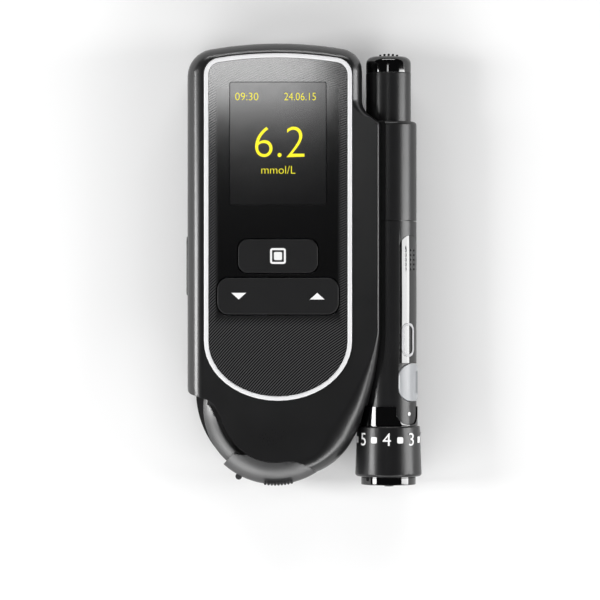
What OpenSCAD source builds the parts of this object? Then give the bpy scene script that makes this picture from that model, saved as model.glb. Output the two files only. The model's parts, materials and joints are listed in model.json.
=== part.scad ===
// Hand-held blood glucose meter with a lancing pen docked on its right side.
// It lies on its back: +X right, +Y up the length (display end), +Z out of the front face.
// Origin: centre of the footprint, on the back rest plane. Millimetres.

/* [Meter body] */
// Thickness from the rest plane to the top of the trim ring
meter_t = 20; // [19.5:0.1:20.5]
// Centre line of the meter, to the left of the whole object's middle
centre_off = 7.13; // [7:0.05:7.3]
// Centre line to the left side
body_left = 24.72; // [24.2:0.1:25.2]
// Centre line to the upper right side
body_right = 22.93; // [22.5:0.1:23.4]
// Centre line to the lip beside the pen
lip_reach = 28.03; // [27.8:0.1:28.3]
// Middle of the length to the crown of the top edge
body_top = 60.4; // [60:0.1:61]
// Radius of the gently arched top edge
top_arc_r = 105; // [90:5:130]
// Radius of the upper left corner
top_left_r = 7.5; // [6:0.5:9]
// Radius of the upper right corner
top_right_r = 6.2; // [5:0.2:8]
// Height of the shoulder where the pen starts
shoulder_y = 39.5; // [39:0.1:40]
// Width of the rounded front edge, seen from the front
edge_w = 3.4; // [2.6:0.2:3.8]
// Height of the rounded front edge
edge_h = 5; // [4.5:0.25:5.5]
// How many times wider that rounding is along the left side
side_share = 1.35; // [1.2:0.05:1.4]
// How many times wider it is round the lower end
low_share = 2.2; // [1.8:0.1:2.3]
// Height of the rounded back edge
back_edge_h = 3.6; // [3:0.2:4]
// Parting plane between the rear and the front housing
split_z = 7.4; // [7.2:0.1:7.6]
// Wall of both housings
wall = 1.8; // [1.6:0.1:2]
// Wall of the rear face and of both back covers
back_t = 1.3; // [1.2:0.05:1.4]

/* [Front panel] */
// Half width of the silver trim ring
ring_half_w = 20.1; // [19.8:0.1:20.2]
// Gap from the crown of the top edge down to the trim ring
ring_inset = 3; // [2.8:0.1:3.4]
// Centre height of the ring's elliptical lower end
ring_low_y = -20.8; // [-21.2:0.1:-20.4]
// Depth of that elliptical lower end
ring_low_b = 16.2; // [15.8:0.1:16.6]
// Width of the trim ring seen from the front
ring_w = 1.2; // [1:0.1:1.4]
// Thickness of the glossy panel
panel_t = 1.2; // [1:0.1:1.4]
// Width of the display window
window_w = 26.3; // [25:0.1:27]
// Height of the display window
window_h = 33.4; // [32:0.1:34.4]
// Drop from the trim ring's crown to the window's centre
window_drop = 24.5; // [24.2:0.1:25]

/* [Keys] */
// Width of the menu key
menu_w = 21.5; // [20:0.1:23]
// Height of the menu key
menu_h = 9; // [8.4:0.1:9.4]
// Centre height of the menu key
menu_y = 2.3; // [2.1:0.1:2.6]
// Width of the rocker key
rocker_w = 32.9; // [30:0.1:33.4]
// Height of the rocker key
rocker_h = 9.9; // [9.4:0.1:10.2]
// Centre height of the rocker key
rocker_y = -8.6; // [-8.9:0.1:-8.4]
// Travel of the menu key
key_travel = 0.5; // [0.4:0.05:0.6]
// Clearance round each key
key_gap = 0.35; // [0.3:0.05:0.5]
// Length of the release button on the left side
release_len = 16.2; // [15:0.2:17]
// Width of the release button across the side
release_w = 4.4; // [4:0.2:4.8]
// Travel of the release button
release_travel = 0.8; // [0.6:0.1:0.9]

/* [Tip cover] */
// Outer radius of the cover at the test tip
cover_r = 20.95; // [20.8:0.05:21]
// Wall of the tip cover
cover_wall = 1.05; // [0.9:0.05:1.2]
// First angle of the closed cover round its centre, measured from +X
cover_a0 = 227.5; // [226:0.5:229]
// Last angle of the closed cover
cover_a1 = 303; // [301:0.5:304]
// Number of thumb ridges
ridges = 9; // [7:1:11]

/* [Cassette and drive] */
// Top of the test cassette above the rest plane
cassette_top = 11.6; // [11.3:0.1:11.7]
// Gear module
gear_m = 0.7; // [0.7:0.01:0.7]
// Teeth of the motor pinion
pinion_teeth = 10; // [10:1:10]
// Teeth of the drive gear
gear_teeth = 33; // [33:1:33]
// Face width of both gears
gear_t = 1; // [0.8:0.1:1.1]
// Radius of the drive motor
motor_r = 3.5; // [3.2:0.1:3.6]
// Radius of the wound tape on the take-up reel
take_up_r = 6.3; // [6:0.1:6.5]
// Radius of the wound tape on the supply reel
supply_r = 7.4; // [7:0.1:7.6]

/* [Batteries] */
// Diameter of one cell
cell_d = 10.5; // [10.3:0.1:10.5]
// Length of one cell with its contact nub
cell_len = 44.5; // [43.5:0.1:44.5]
// Pitch between the two cells
cell_pitch = 10.8; // [10.6:0.1:10.8]

/* [Pen] */
// Distance of the pen's axis to the right of the whole object's middle
pen_off = 23.1; // [23:0.05:23.2]
// Height of the pen's axis above the rest plane
pen_z = 10; // [9.8:0.1:10.1]
// Radius of the barrel
barrel_r = 7.7; // [7.6:0.05:7.8]
// Bore radius of the barrel
barrel_bore_r = 6.4; // [6.35:0.05:6.45]
// Radius of the plunger
plunger_r = 6.15; // [6:0.05:6.2]
// Upper end of the plunger's cap
plunger_top = 57.7; // [57:0.1:58]
// Joint between the plunger and its cap
plunger_cap_y = 52.5; // [52:0.1:53]
// Upper end of the barrel
barrel_top = 39.2; // [38.8:0.1:39.6]
// Seam between the upper and the lower barrel
barrel_seam = 12.1; // [11.6:0.1:12.6]
// Lower end of the barrel
barrel_low = -38.7; // [-39:0.1:-38.4]
// Stroke of the plunger
plunger_travel = 6; // [5:0.5:7]
// Radius of the glossy cap collar
collar_r = 8.05; // [7.95:0.05:8.1]
// Upper end of the depth dial
dial_top = -44.1; // [-44.3:0.1:-43.9]
// Lower end of the depth dial
dial_low = -57.9; // [-58.1:0.1:-57.7]
// Radius of the dial at its upper edge
dial_r_top = 8.6; // [8.5:0.05:8.7]
// Radius of the dial near its lower edge
dial_r_low = 9.1; // [9:0.05:9.2]
// Lower end of the pen
pen_low = -60.4; // [-60.6:0.1:-60.2]
// Radius of the lancet drum
drum_r = 6.05; // [5.9:0.05:6.1]
// Number of lancets in the drum
lancet_count = 6; // [5:1:6]

/* [Hidden] */

// fineness of true round faces and of faceted ones
$fn = 64;
eps = 0.05;      // overshoot of a cut past the face that it opens
fit = 0.05;      // gap between fixed pieces that seat on each other
slip = 0.2;      // gap between pieces that move past each other
run = 0.07;      // radial gap of a turning fit

// levels through the thickness, from the front down
mx = -centre_off;
face_z = meter_t - 0.7;
panel_z = meter_t - 0.3;
pocket_z = panel_z - panel_t - fit;
skin_t = 1.1;
skin_z = pocket_z - skin_t;
flange_t = 0.5;
flange_gap = 0.1;
key_under = skin_z - flange_gap - flange_t;
key_top = meter_t;
dome_top = key_under - key_travel - slip;
dome_h = 0.45;
membrane_t = 0.4;
membrane_z = dome_top - dome_h - membrane_t;
board_t = 1;
board_z = membrane_z - 2 * fit - board_t;
frame_t = 0.7;
frame_z = board_z - slip - frame_t;

ring_top = body_top - ring_inset;
window_y = ring_top - window_drop;

// outline of the front housing: arcs from the upper left corner down and round
top_cy = body_top - top_arc_r;
left_x = mx - body_left;
right_x = mx + body_right;
lip_x = mx + lip_reach;
tl = [left_x + top_left_r,
      top_cy + sqrt(pow(top_arc_r - top_left_r, 2) - pow(body_left - top_left_r, 2))];
tr = [right_x - top_right_r,
      top_cy + sqrt(pow(top_arc_r - top_right_r, 2) - pow(body_right - top_right_r, 2))];
tl_a = atan2(tl[1] - top_cy, tl[0] - mx);
tr_a = atan2(tr[1] - top_cy, tr[0] - mx);
// centre that the tip cover turns about, and the housing edge that runs round it
tip_c = [mx - 0.81, -39.14];
nose_r = 14.6;
nose_a0 = 204;
nose_a1 = 278;
wave_run = 6.5;   // straight stretch above the nose arc
wave_r = 4.5;     // fillet between that stretch and the step below the left side
step_a = 252;
step_r = 1.8;
horn_fillet_r = 11;
horn_r = 0.7;
horn_a = 228;
lower_c = [mx + 3.64, -39.1];
flank_r = 58.9;
lip_r = 1.6;
shoulder_a = 55;
shoulder_r = 5;
wave_start = tip_c + nose_r * dir(nose_a0) - wave_run * dir(nose_a0 + 90);
wave_c = wave_start + wave_r * dir(nose_a0);
step_in = wave_c + wave_r * dir(step_a - 180);
step_run = (step_in[0] - left_x - step_r * (1 + cos(step_a))) / cos(step_a + 90);
step_c = step_in - step_run * dir(step_a + 90) - step_r * dir(step_a);
horn_fillet_c = tip_c + (nose_r + horn_fillet_r) * dir(nose_a1);
horn_c = horn_fillet_c + (horn_fillet_r + horn_r) * dir(horn_a - 180);
lower_r = norm(horn_c - lower_c) + horn_r;
lower_a = atan2(horn_c[1] - lower_c[1], horn_c[0] - lower_c[0]) + 360;
flank_c = [lip_x - flank_r,
           lower_c[1] + sqrt(pow(flank_r - lower_r, 2) - pow(lower_c[0] - lip_x + flank_r, 2))];
flank_a = atan2(lower_c[1] - flank_c[1], lower_c[0] - flank_c[0]) + 360;
lip_c = [lip_x - lip_r, shoulder_y - lip_r];
shoulder_c = [right_x + shoulder_r, shoulder_run_y() + shoulder_r * sin(shoulder_a)];
// share of the edge rounding: full on the outer sides, small along the nose and the pen's lip
thin_edge = 0.3;
horn_edge = 0.2;

function dir(a) = [cos(a), sin(a)];
function shoulder_run_y() =
  let (p = lip_c + lip_r * dir(shoulder_a), x = right_x + shoulder_r * (1 - cos(shoulder_a)))
  p[1] + (p[0] - x) * tan(90 - shoulder_a);

// one arc: centre, radius, first and last angle, steps, rounding share at both ends, 1 if it continues
function arc_points(a) =
  [for (i = [a[7]:a[4]])
    let (t = i / a[4], ang = a[2] + (a[3] - a[2]) * t, s = a[3] > a[2] ? 1 : -1)
    [a[0][0] + a[1] * cos(ang), a[0][1] + a[1] * sin(ang), s * cos(ang), s * sin(ang),
     a[5] + (a[6] - a[5]) * t]];
function chain(arcs) = [for (a = arcs) each arc_points(a)];
function ring(pts, d, z) = [for (p = pts) [p[0] - p[2] * p[4] * d, p[1] - p[3] * p[4] * d, z]];
function grown(pts, d) = [for (p = pts) [p[0] + p[2] * d, p[1] + p[3] * d]];

right_side = [
  [lower_c, lower_r, lower_a, flank_a, 10, horn_edge, 0.9, 1],
  [flank_c, flank_r, flank_a, 360, 9, 0.9, thin_edge, 1],
  [lip_c, lip_r, 0, shoulder_a, 4, thin_edge, thin_edge, 0],
  [shoulder_c, shoulder_r, shoulder_a + 180, 180, 6, thin_edge, 1, 0],
  [tr, top_right_r, 0, tr_a, 8, 1, 1, 0],
  [[mx, top_cy], top_arc_r, tr_a, tl_a, 14, 1, 1, 1],
  [tl, top_left_r, tl_a, 180, 8, 1, 1, 1]];
front_points = chain(concat([
  [step_c, step_r, 180, step_a, 5, 1, thin_edge, 0],
  [wave_c, wave_r, step_a - 180, nose_a0 - 180, 5, thin_edge, thin_edge, 0],
  [tip_c, nose_r, nose_a0, nose_a1, 16, thin_edge, thin_edge, 0],
  [horn_fillet_c, horn_fillet_r, nose_a1 - 180, horn_a - 180, 7, thin_edge, horn_edge, 1],
  [horn_c, horn_r, horn_a, lower_a, 3, horn_edge, horn_edge, 1]], right_side));

// crowned form of the front, which the wavy edge beside the tip is cut out of
sweep_r = 25.5;   // from the left side into the lower end
sweep_c = [left_x + sweep_r,
           lower_c[1] + sqrt(pow(sweep_r - lower_r, 2) - pow(left_x + sweep_r - lower_c[0], 2))];
sweep_a = atan2(lower_c[1] - sweep_c[1], lower_c[0] - sweep_c[0]) + 360;
flank_mid_a = flank_a + 0.6 * (360 - flank_a);
crown_points = chain([
  [sweep_c, sweep_r, 180, sweep_a, 18, side_share, side_share, 0],
  [lower_c, lower_r, sweep_a, flank_a, 14, side_share, low_share, 1],
  [flank_c, flank_r, flank_a, flank_mid_a, 6, low_share, 1.2, 1],
  [flank_c, flank_r, flank_mid_a, 360, 4, 1.2, thin_edge, 1],
  [lip_c, lip_r, 0, shoulder_a, 4, thin_edge, thin_edge, 0],
  [shoulder_c, shoulder_r, shoulder_a + 180, 180, 6, thin_edge, 1, 0],
  [tr, top_right_r, 0, tr_a, 8, 1, 1, 0],
  [[mx, top_cy], top_arc_r, tr_a, tl_a, 14, 1, 1, 1],
  [tl, top_left_r, tl_a, 180, 8, 1, side_share, 1]]);
horn_exit_a = horn_a + 45;
horn_exit = horn_c + horn_r * dir(horn_exit_a) + 12 * dir(horn_exit_a + 90);
wave_points = concat(
  [[horn_exit[0], horn_exit[1]], [2 * lip_x, horn_exit[1]], [2 * lip_x, 2 * body_top],
   [2 * left_x, 2 * body_top], [2 * left_x, step_c[1] + 1]],
  grown(chain([
    [step_c, step_r, 180, step_a, 5, 1, 1, 0],
    [wave_c, wave_r, step_a - 180, nose_a0 - 180, 5, 1, 1, 0],
    [tip_c, nose_r, nose_a0, nose_a1, 16, 1, 1, 0],
    [horn_fillet_c, horn_fillet_r, nose_a1 - 180, horn_a - 180, 7, 1, 1, 1],
    [horn_c, horn_r, horn_a, horn_exit_a, 2, 1, 1, 1]]), 0));

// slope of the tip cover: a tight turn above its wall, then a slow curve up to the housing
cover_small_r = 1.6;
cover_mid_a = 42;
cover_in_a = 12;
cover_wall_z = face_z - 3.4 - 4 - 0.05;
cover_big_r = (cover_r - nose_r - 0.3 - cover_small_r * (1 - sin(cover_mid_a)))
  / (sin(cover_mid_a) - sin(cover_in_a));

// the rear housing carries on under the tip cover as a round nose
strip_c = [mx + 2.55, -34.85];
strip_r = 25.15;
strip_a0 = 181;
strip_a1 = 228;
rear_nose_r = cover_r - 0.95;
rear_nose_a0 = 229;
rear_nose_a1 = 303;
rear_points = chain(concat([
  [step_c, step_r, 180, 236, 5, 1, thin_edge, 0],
  [strip_c, strip_r, strip_a0, strip_a1, 12, thin_edge, thin_edge, 0],
  [tip_c, rear_nose_r, rear_nose_a0, rear_nose_a1, 16, thin_edge, horn_edge, 0],
  [horn_c, horn_r, horn_a + 20, lower_a, 3, horn_edge, horn_edge, 0]], right_side));

// room inside both housings, d away from the outer walls, left of the pen's groove wall
cavity_right = pen_off - barrel_r - 3.8;
function cavity_points(d) = grown(chain([
  [step_c + [1.3, 0.9], 3.1, 180, 230, 4, 1, 1, 0],
  [wave_c, wave_r, 62, nose_a0 - 180, 4, 1, 1, 0],
  [tip_c, nose_r, nose_a0, 290, 16, 1, 1, 0],
  [lower_c, lower_r - 2.5, 310, flank_a, 4, 1, 1, 0],
  [flank_c, flank_r, 340, 345, 2, 1, 1, 0],
  [tr, top_right_r, 0, tr_a, 8, 1, 1, 0],
  [[mx, top_cy], top_arc_r, tr_a, tl_a, 14, 1, 1, 1],
  [tl, top_left_r, tl_a, 180, 8, 1, 1, 1]]), -d);

// panel outline, d inside the trim ring's outer edge
ring_arc_r = 105.6;
ring_corner_r = 4.6;
ring_cy = ring_top - ring_arc_r;
ring_corner_y = ring_cy
  + sqrt(pow(ring_arc_r - ring_corner_r, 2) - pow(ring_half_w - ring_corner_r, 2));
ring_a = atan2(ring_corner_y - ring_cy, ring_half_w - ring_corner_r);
function panel_points(d) = concat(
  [for (i = [0:24]) let (a = 180 + 7.5 * i)
    [mx + (ring_half_w - d) * cos(a), ring_low_y + (ring_low_b - d) * sin(a)]],
  [for (i = [0:7]) let (a = ring_a * i / 7)
    [mx + ring_half_w - ring_corner_r + (ring_corner_r - d) * cos(a),
     ring_corner_y + (ring_corner_r - d) * sin(a)]],
  [for (i = [1:11]) let (a = ring_a + (180 - 2 * ring_a) * i / 12)
    [mx + (ring_arc_r - d) * cos(a), ring_cy + (ring_arc_r - d) * sin(a)]],
  [for (i = [0:7]) let (a = 180 - ring_a + ring_a * i / 7)
    [mx - ring_half_w + ring_corner_r + (ring_corner_r - d) * cos(a),
     ring_corner_y + (ring_corner_r - d) * sin(a)]]);

// screws and their posts
screw_r = 0.9;
screw_head_r = 1.9;
screw_head_t = 1.1;
screw_sink = 0.4;
post_r = 2;
boss_r = 2.8;
screw_top = 12.5;
screw_at = [[left_x + 6.4, 46], [cavity_right - 1.8, 46], [left_x + 5.5, -27], [cavity_right - 2.3, 0.3]];

// drive train
reel_at = [mx - 6.87, -14];
motor_at = reel_at + gear_m * (pinion_teeth + gear_teeth) / 2 * dir(113.5);
supply_at = [mx + 6.13, -29];
gear_z = cassette_top + 0.3;
spindle_r = 1.5;
axle_r = 0.8;
pinion_shaft_r = 0.5;
motor_z = back_t + 1.2;
motor_top = gear_z - 0.7;

// cassette bay
cassette_z = back_t + 0.9;
nose_step_z = 8.8;
case_wall = 1;
case_points = [[mx - 14.4, -6.2], [mx - 14.4, -36], [mx - 9.9, -46.5], [mx + 8.1, -46.5],
               [mx + 14.6, -34], [mx + 14.6, -6.2]];
tip_w = 3.2;
tip_end = -57.6;
tip_z0 = 3.5;
tip_z1 = 8.9;
tape_t = 0.3;
tape_z0 = 4.6;
tape_h = 3.4;
mouth_w = 11;

// back covers
cover_gap = 0.25;
hinge_side_gap = 0.8; // room for the cassette cover's edge as it swings
door_points = [[mx - 15.6, -5.2], [mx - 15.6, -37], [mx - 10.9, -48.4], [mx + 9.1, -48.4],
               [mx + 15.1, -35.4], [mx + 15.1, -5.2]];
hinge_x = mx + 17.7;
hinge_z = 1.9;
hinge_pin_r = 0.7;
knuckle_r = 1.5;
hinge_y0 = -33.5;
hinge_y1 = -8.5;
hinge_len = hinge_y1 - hinge_y0;
cell_x = mx + 0.03;
bay_half_w = (cell_pitch + cell_d) / 2 + 0.25;
tray_wall = 1;
tray_y0 = 4.8;
spring_room = 3.5;
cell_y0 = tray_y0 + tray_wall + spring_room + fit;
tray_y1 = cell_y0 + cell_len + 0.5 + tray_wall;
tray_z = back_t + 1.5;
cell_z = tray_z - 0.9 + cell_d / 2;
bat_cover_y = 4.4;
bat_cover_half_w = 12;
runner_w = 1;
runner_t = 0.8;

// side release button
release_y = -0.3;
release_z = 11.3;
release_out = 0.35;
release_depth = 2.6;

// pen
groove_gap = 0.3;
groove_r = barrel_r + groove_gap;
cap_groove_r = dial_r_low + 0.4;
rail_head_t = 1.2;
rail_head_h = 3.6;
rail_neck_h = 1.8;
rail_y0 = -12;
rail_y1 = 14;
rail_x1 = pen_off - barrel_r - 1.3;
rail_x0 = rail_x1 - rail_head_t;
spigot_r = 6.9;
spigot_low = -50;
side_a = 49;          // middle of the side inlay and lever, from the front towards the right
inlay_half_a = 27;
inlay_y0 = -26.8;
inlay_y1 = 8;
lever_y0 = -37.2;
lever_y1 = -27.1;
lever_a0 = 22;
lever_a1 = 94;
lever_swing = 22;
lever_r = 8;
tongue_a0 = 13;
tongue_a1 = 80;
tongue_low = -43.4;
inlay_w = 2 * barrel_r * sin(inlay_half_a);
inlay_len = inlay_y1 - inlay_y0;
lever_a = (lever_a0 + lever_a1) / 2;
lever_w = 2 * lever_r * sin(lever_a - lever_a0);
lever_len = lever_y1 - lever_y0;
lever_end_a = lever_a + asin(lever_w / 2 / (barrel_bore_r + 0.3));
tongue_a = (tongue_a0 + tongue_a1) / 2;
tongue_w = 1.05 * barrel_r;
tongue_y = barrel_low + 0.4;
dock_depth = 0.45;
dock_gap = 1.2;
lancet_ring_r = 3.8;
drum_low = pen_low + 5.4;
drum_high = drum_low + 14;
lancet_low = drum_low + 1.5;
cap_bore_r = spigot_r + run;
cap_core_r = 7.5;
rod_r = 1.25;

// ---------- helpers ----------
module loft(pts, z0, z1, up, h) {
  // straight wall from z0, then a quarter round of height h that ends at z1
  n = len(pts);
  steps = 6;
  levels = concat([[z0, 0]],
    [for (i = [0:steps]) [z1 - up * h * (1 - sin(90 * i / steps)), edge_w * (1 - cos(90 * i / steps))]]);
  m = len(levels);
  pnts = [for (l = levels) each ring(pts, l[1], l[0])];
  sides = [for (k = [0:m - 2], i = [0:n - 1]) let (j = (i + 1) % n, a = k * n, b = a + n)
    each (up > 0 ? [[a + i, b + i, b + j], [a + i, b + j, a + j]]
                 : [[a + i, b + j, b + i], [a + i, a + j, b + j]])];
  low = [for (i = [0:n - 1]) i];
  high = [for (i = [0:n - 1]) (m - 1) * n + n - 1 - i];
  flip = function (f) [for (i = [len(f) - 1:-1:0]) f[i]];
  polyhedron(pnts, concat(sides, up > 0 ? [low, high] : [flip(low), flip(high)]), convexity = 8);
}

module rounded(w, h, r) {
  square([w - 2 * r, h], center = true);
  square([w, h - 2 * r], center = true);
  for (x = [-1, 1], y = [-1, 1]) translate([x * (w / 2 - r), y * (h / 2 - r)]) circle(r);
}

module block(x0, x1, y0, y1, z0, z1) {
  translate([x0, y0, z0]) cube([x1 - x0, y1 - y0, z1 - z0]);
}

module slab(z0, z1) {
  translate([0, 0, z0]) linear_extrude(z1 - z0, convexity = 6) children();
}

module on_pen(y) {
  translate([pen_off, y, pen_z]) rotate([-90, 0, 0]) children();
}

// ring or part of one about the pen's axis; angles run from the front towards the right
module pen_tube(r0, r1, y0, y1) {
  on_pen(y0) difference() {
    cylinder(r = r1, h = y1 - y0);
    if (r0 > 0) translate([0, 0, -eps]) cylinder(r = r0, h = y1 - y0 + 2 * eps);
  }
}

module pen_sector(r0, r1, y0, y1, a0, a1) {
  on_pen(y0) rotate(a0 - 90) rotate_extrude(angle = a1 - a0)
    translate([r0, 0]) square([r1 - r0, y1 - y0]);
}

// patch of such a tube, cut out along a straight look at its middle; the shape's +X points down the pen
module pen_patch(r0, r1, y, a, reach) {
  intersection() {
    pen_tube(r0, r1, y - reach, y + reach);
    on_pen(y) rotate(a - 90) rotate([0, 90, 0]) linear_extrude(2 * barrel_r) children();
  }
}

module on_tip(a) {
  translate([tip_c[0], tip_c[1], 0]) rotate(a) children();
}

// one unbroken wire wound along +Z
module coil(r, wire_r, h, turns) {
  n = 10;
  sides = 6;
  count = turns * n;
  pts = [for (i = [0:count]) let (a = 360 * i / n, z = h * i / count)
    for (k = [0:sides - 1]) let (b = 360 * k / sides)
      [(r + wire_r * cos(b)) * cos(a), (r + wire_r * cos(b)) * sin(a), z + wire_r * sin(b)]];
  faces = concat(
    [for (i = [0:count - 1], k = [0:sides - 1]) let (l = (k + 1) % sides, a = i * sides, b = a + sides)
      each [[a + k, a + l, b + l], [a + k, b + l, b + k]]],
    [[for (k = [sides - 1:-1:0]) k]], [[for (k = [0:sides - 1]) count * sides + k]]);
  polyhedron(pts, faces, convexity = 10);
}

// outline of a gear with involute flanks
function involute(rb, t) = [rb * (cos(t) + t * PI / 180 * sin(t)), rb * (sin(t) - t * PI / 180 * cos(t))];
function turned(p, a) = [p[0] * cos(a) - p[1] * sin(a), p[0] * sin(a) + p[1] * cos(a)];
module gear_outline(teeth, slack) {
  rp = gear_m * teeth / 2;
  rb = rp * cos(20);
  ro = rp + 0.9 * gear_m;
  rr = rp - 1.2 * gear_m;
  t_at = function (r) sqrt(pow(max(r, rb) / rb, 2) - 1) * 180 / PI;
  polar = function (p) atan2(p[1], p[0]);
  half = 90 / teeth - slack / rp * 90 / PI + polar(involute(rb, t_at(rp)));
  flank = [for (i = [0:4]) involute(rb, t_at(rb + (ro - rb) * i / 4))];
  tooth = concat([turned([rr, 0], -half)], [for (p = flank) turned(p, -half)],
    [for (i = [4:-1:0]) turned([flank[i][0], -flank[i][1]], half)], [turned([rr, 0], half)]);
  polygon([for (k = [0:teeth - 1]) each [for (p = tooth) turned(p, 360 * k / teeth)]]);
}

module screw_cut() {
  for (p = screw_at) translate([p[0], p[1], 0]) {
    translate([0, 0, -eps]) cylinder(r = screw_head_r + slip, h = screw_sink + screw_head_t + fit + eps);
    cylinder(r = screw_r + slip, h = split_z + 1);
  }
}

module pen_groove() {
  on_pen(barrel_low) cylinder(r = groove_r, h = 2 * body_top);
  on_pen(-2 * body_top) cylinder(r = cap_groove_r, h = 2 * body_top + barrel_low + 0.3);
}

module room(d) {
  intersection() {
    polygon(cavity_points(d));
    translate([left_x, -body_top]) square([cavity_right - left_x, 2 * body_top]);
  }
}

module case_shape(d) {
  // the cassette's outline, d inside its wall, straight sides kept
  intersection() {
    polygon(case_points);
    translate([mx - 14.4 + d, -46.5 + d]) square([29 - 2 * d, 40.3 - 2 * d]);
    translate([d, d * 0.5])
      polygon([[-60, -6], case_points[1], case_points[2], [mx - 9.9, -60], [60, -60], [60, 0]]);
    translate([-d, d * 0.5])
      polygon([[60, -6], case_points[4], case_points[3], [mx + 8.1, -60], [-60, -60], [-60, 0]]);
  }
}

// ---------- meter shells ----------
module front_housing() color([0.13, 0.13, 0.14]) {
  difference() {
    union() {
      difference() {
        intersection() {
          loft(crown_points, split_z - 1, face_z, 1, edge_h);
          slab(split_z + fit, meter_t) polygon(wave_points);
        }
        slab(split_z - eps, skin_z) room(wall);
      }
      for (p = screw_at) translate([p[0], p[1], 0]) {
        translate([0, 0, split_z + fit]) cylinder(r = post_r, h = skin_z - split_z);
        translate([0, 0, frame_z + frame_t + fit]) cylinder(r = boss_r, h = skin_z - frame_z - frame_t);
      }
    }
    slab(pocket_z, meter_t + 1) polygon(panel_points(-0.1));
    slab(skin_z - eps, meter_t) {
      translate([mx, window_y]) square([window_w + 0.4, window_h + 0.4], center = true);
      translate([mx, menu_y]) rounded(menu_w + 2 * key_gap, menu_h + 2 * key_gap, 2.5 + key_gap);
      translate([mx, rocker_y]) rounded(rocker_w + 2 * key_gap, rocker_h + 2 * key_gap, 3 + key_gap);
    }
    for (p = screw_at) translate([p[0], p[1], split_z])
      cylinder(r = screw_r + fit, h = screw_top + 0.6 - split_z);
    pen_groove();
    rail_slot();
    block(tip_c[0] - mouth_w / 2, tip_c[0] + mouth_w / 2, -60, -45, split_z - 1, frame_z);
    release_slot(release_w + 2 * slip, release_len + 2 * slip, left_x - 2, left_x + wall + 1);
  }
}

module release_slot(w, l, x0, x1) {
  translate([x0, release_y, release_z]) rotate([90, 0, 90])
    linear_extrude(x1 - x0) rounded(l, w, w / 2 - eps);
}

module rail_slot() {
  low = -2 * body_top;
  block(rail_x0 - slip, rail_x1 + slip, low, rail_y1 + slip,
        pen_z - rail_head_h / 2 - slip, pen_z + rail_head_h / 2 + slip);
  block(rail_x1, rail_x1 + 3, low, rail_y1 + slip,
        pen_z - rail_neck_h / 2 - slip, pen_z + rail_neck_h / 2 + slip);
}

module rear_housing() color([0.11, 0.11, 0.12]) {
  difference() {
    union() {
      difference() {
        loft(rear_points, split_z, 0, -1, back_edge_h);
        slab(back_t, split_z + 1) {
          room(wall);
          translate(tip_c) circle(rear_nose_r - wall);
        }
      }
      for (p = screw_at) translate([p[0], p[1], back_t - eps]) cylinder(r = boss_r, h = split_z - back_t);
      translate([motor_at[0], motor_at[1], back_t - eps]) cylinder(r = motor_r + 0.9, h = 4.2);
      // hinge knuckles at both ends of the cassette cover
      for (y = [hinge_y0 - 2.4, hinge_y1 + 0.4]) translate([hinge_x, y, hinge_z]) {
        rotate([-90, 0, 0]) cylinder(r = knuckle_r, h = 2);
        translate([-knuckle_r, 0, 0]) cube([2 * knuckle_r, 2, split_z - hinge_z - 0.4]);
      }
    }
    slab(-eps, back_t + eps) polygon(grow_door(cover_gap));
    hinge_pocket();
    // opening and side runners of the battery cover, open at the top end
    opening = bat_cover_half_w + slip;
    block(cell_x - opening, cell_x + opening, bat_cover_y - cover_gap, body_top + 2, -eps, back_t + eps);
    block(cell_x - opening - runner_w, cell_x + opening + runner_w, bat_cover_y - cover_gap, body_top + 2,
          back_t, back_t + runner_t + slip);
    translate([motor_at[0], motor_at[1], back_t + 0.3]) cylinder(r = motor_r + fit, h = split_z);
    screw_cut();
    pen_groove();
    translate([hinge_x, hinge_y0 - 3, hinge_z]) rotate([-90, 0, 0])
      cylinder(r = hinge_pin_r + fit, h = hinge_len + 6);
    block(tip_c[0] - mouth_w / 2, tip_c[0] + mouth_w / 2, -62, -52, back_t + 0.7, split_z + 1);
  }
}

function grow_door(d) = [for (p = door_points)
  [p[0] + (p[0] > mx + 10 ? hinge_side_gap : p[0] > mx ? d : -d),
   p[1] + (p[1] > -20 ? d : p[1] < -40 ? -d : 0)]];

module hinge_pocket() {
  block(hinge_x - 2, hinge_x + 2.45, hinge_y0 - 0.2, hinge_y1 + 0.2, -eps, hinge_z);
  translate([hinge_x, hinge_y0 - 0.2, hinge_z]) rotate([-90, 0, 0])
    cylinder(r = knuckle_r + 0.3, h = hinge_len + 0.4);
}

// slope of the tip cover from its outer wall up to the housing, d inside its outer face
function cover_slope(d) = concat(
  [for (i = [0:4]) let (a = 90 - (90 - cover_mid_a) * i / 4)
    [cover_r - cover_small_r + (cover_small_r - d) * sin(a), cover_wall_z + (cover_small_r - d) * cos(a)]],
  [for (i = [1:6]) let (a = cover_mid_a - (cover_mid_a - cover_in_a) * i / 6, q = cover_big_r - cover_small_r)
    [cover_r - cover_small_r - q * sin(cover_mid_a) + (cover_big_r - d) * sin(a),
     cover_wall_z - q * cos(cover_mid_a) + (cover_big_r - d) * cos(a)]]);

module nose_track() color([0.3, 0.3, 0.31]) {
  // satin strip that the tip cover slides over, with a channel beside the housing
  inset = cover_wall + slip;
  slope = cover_slope(inset);
  last = slope[len(slope) - 1];
  difference() {
    on_tip(172) rotate_extrude(angle = 131) polygon(concat(
      [[nose_r - 0.2, split_z + fit], [cover_r - inset, split_z + fit]], slope, [[nose_r - 0.2, last[1]]]));
    slab(split_z - 1, meter_t) polygon(grown(front_points, 0.15));
    slab(last[1] - 1.6, meter_t) polygon(grown(front_points, 1.3));
    block(tip_c[0] - mouth_w / 2, tip_c[0] + mouth_w / 2, -62, -45, split_z - 1, 12);
  }
}

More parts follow.
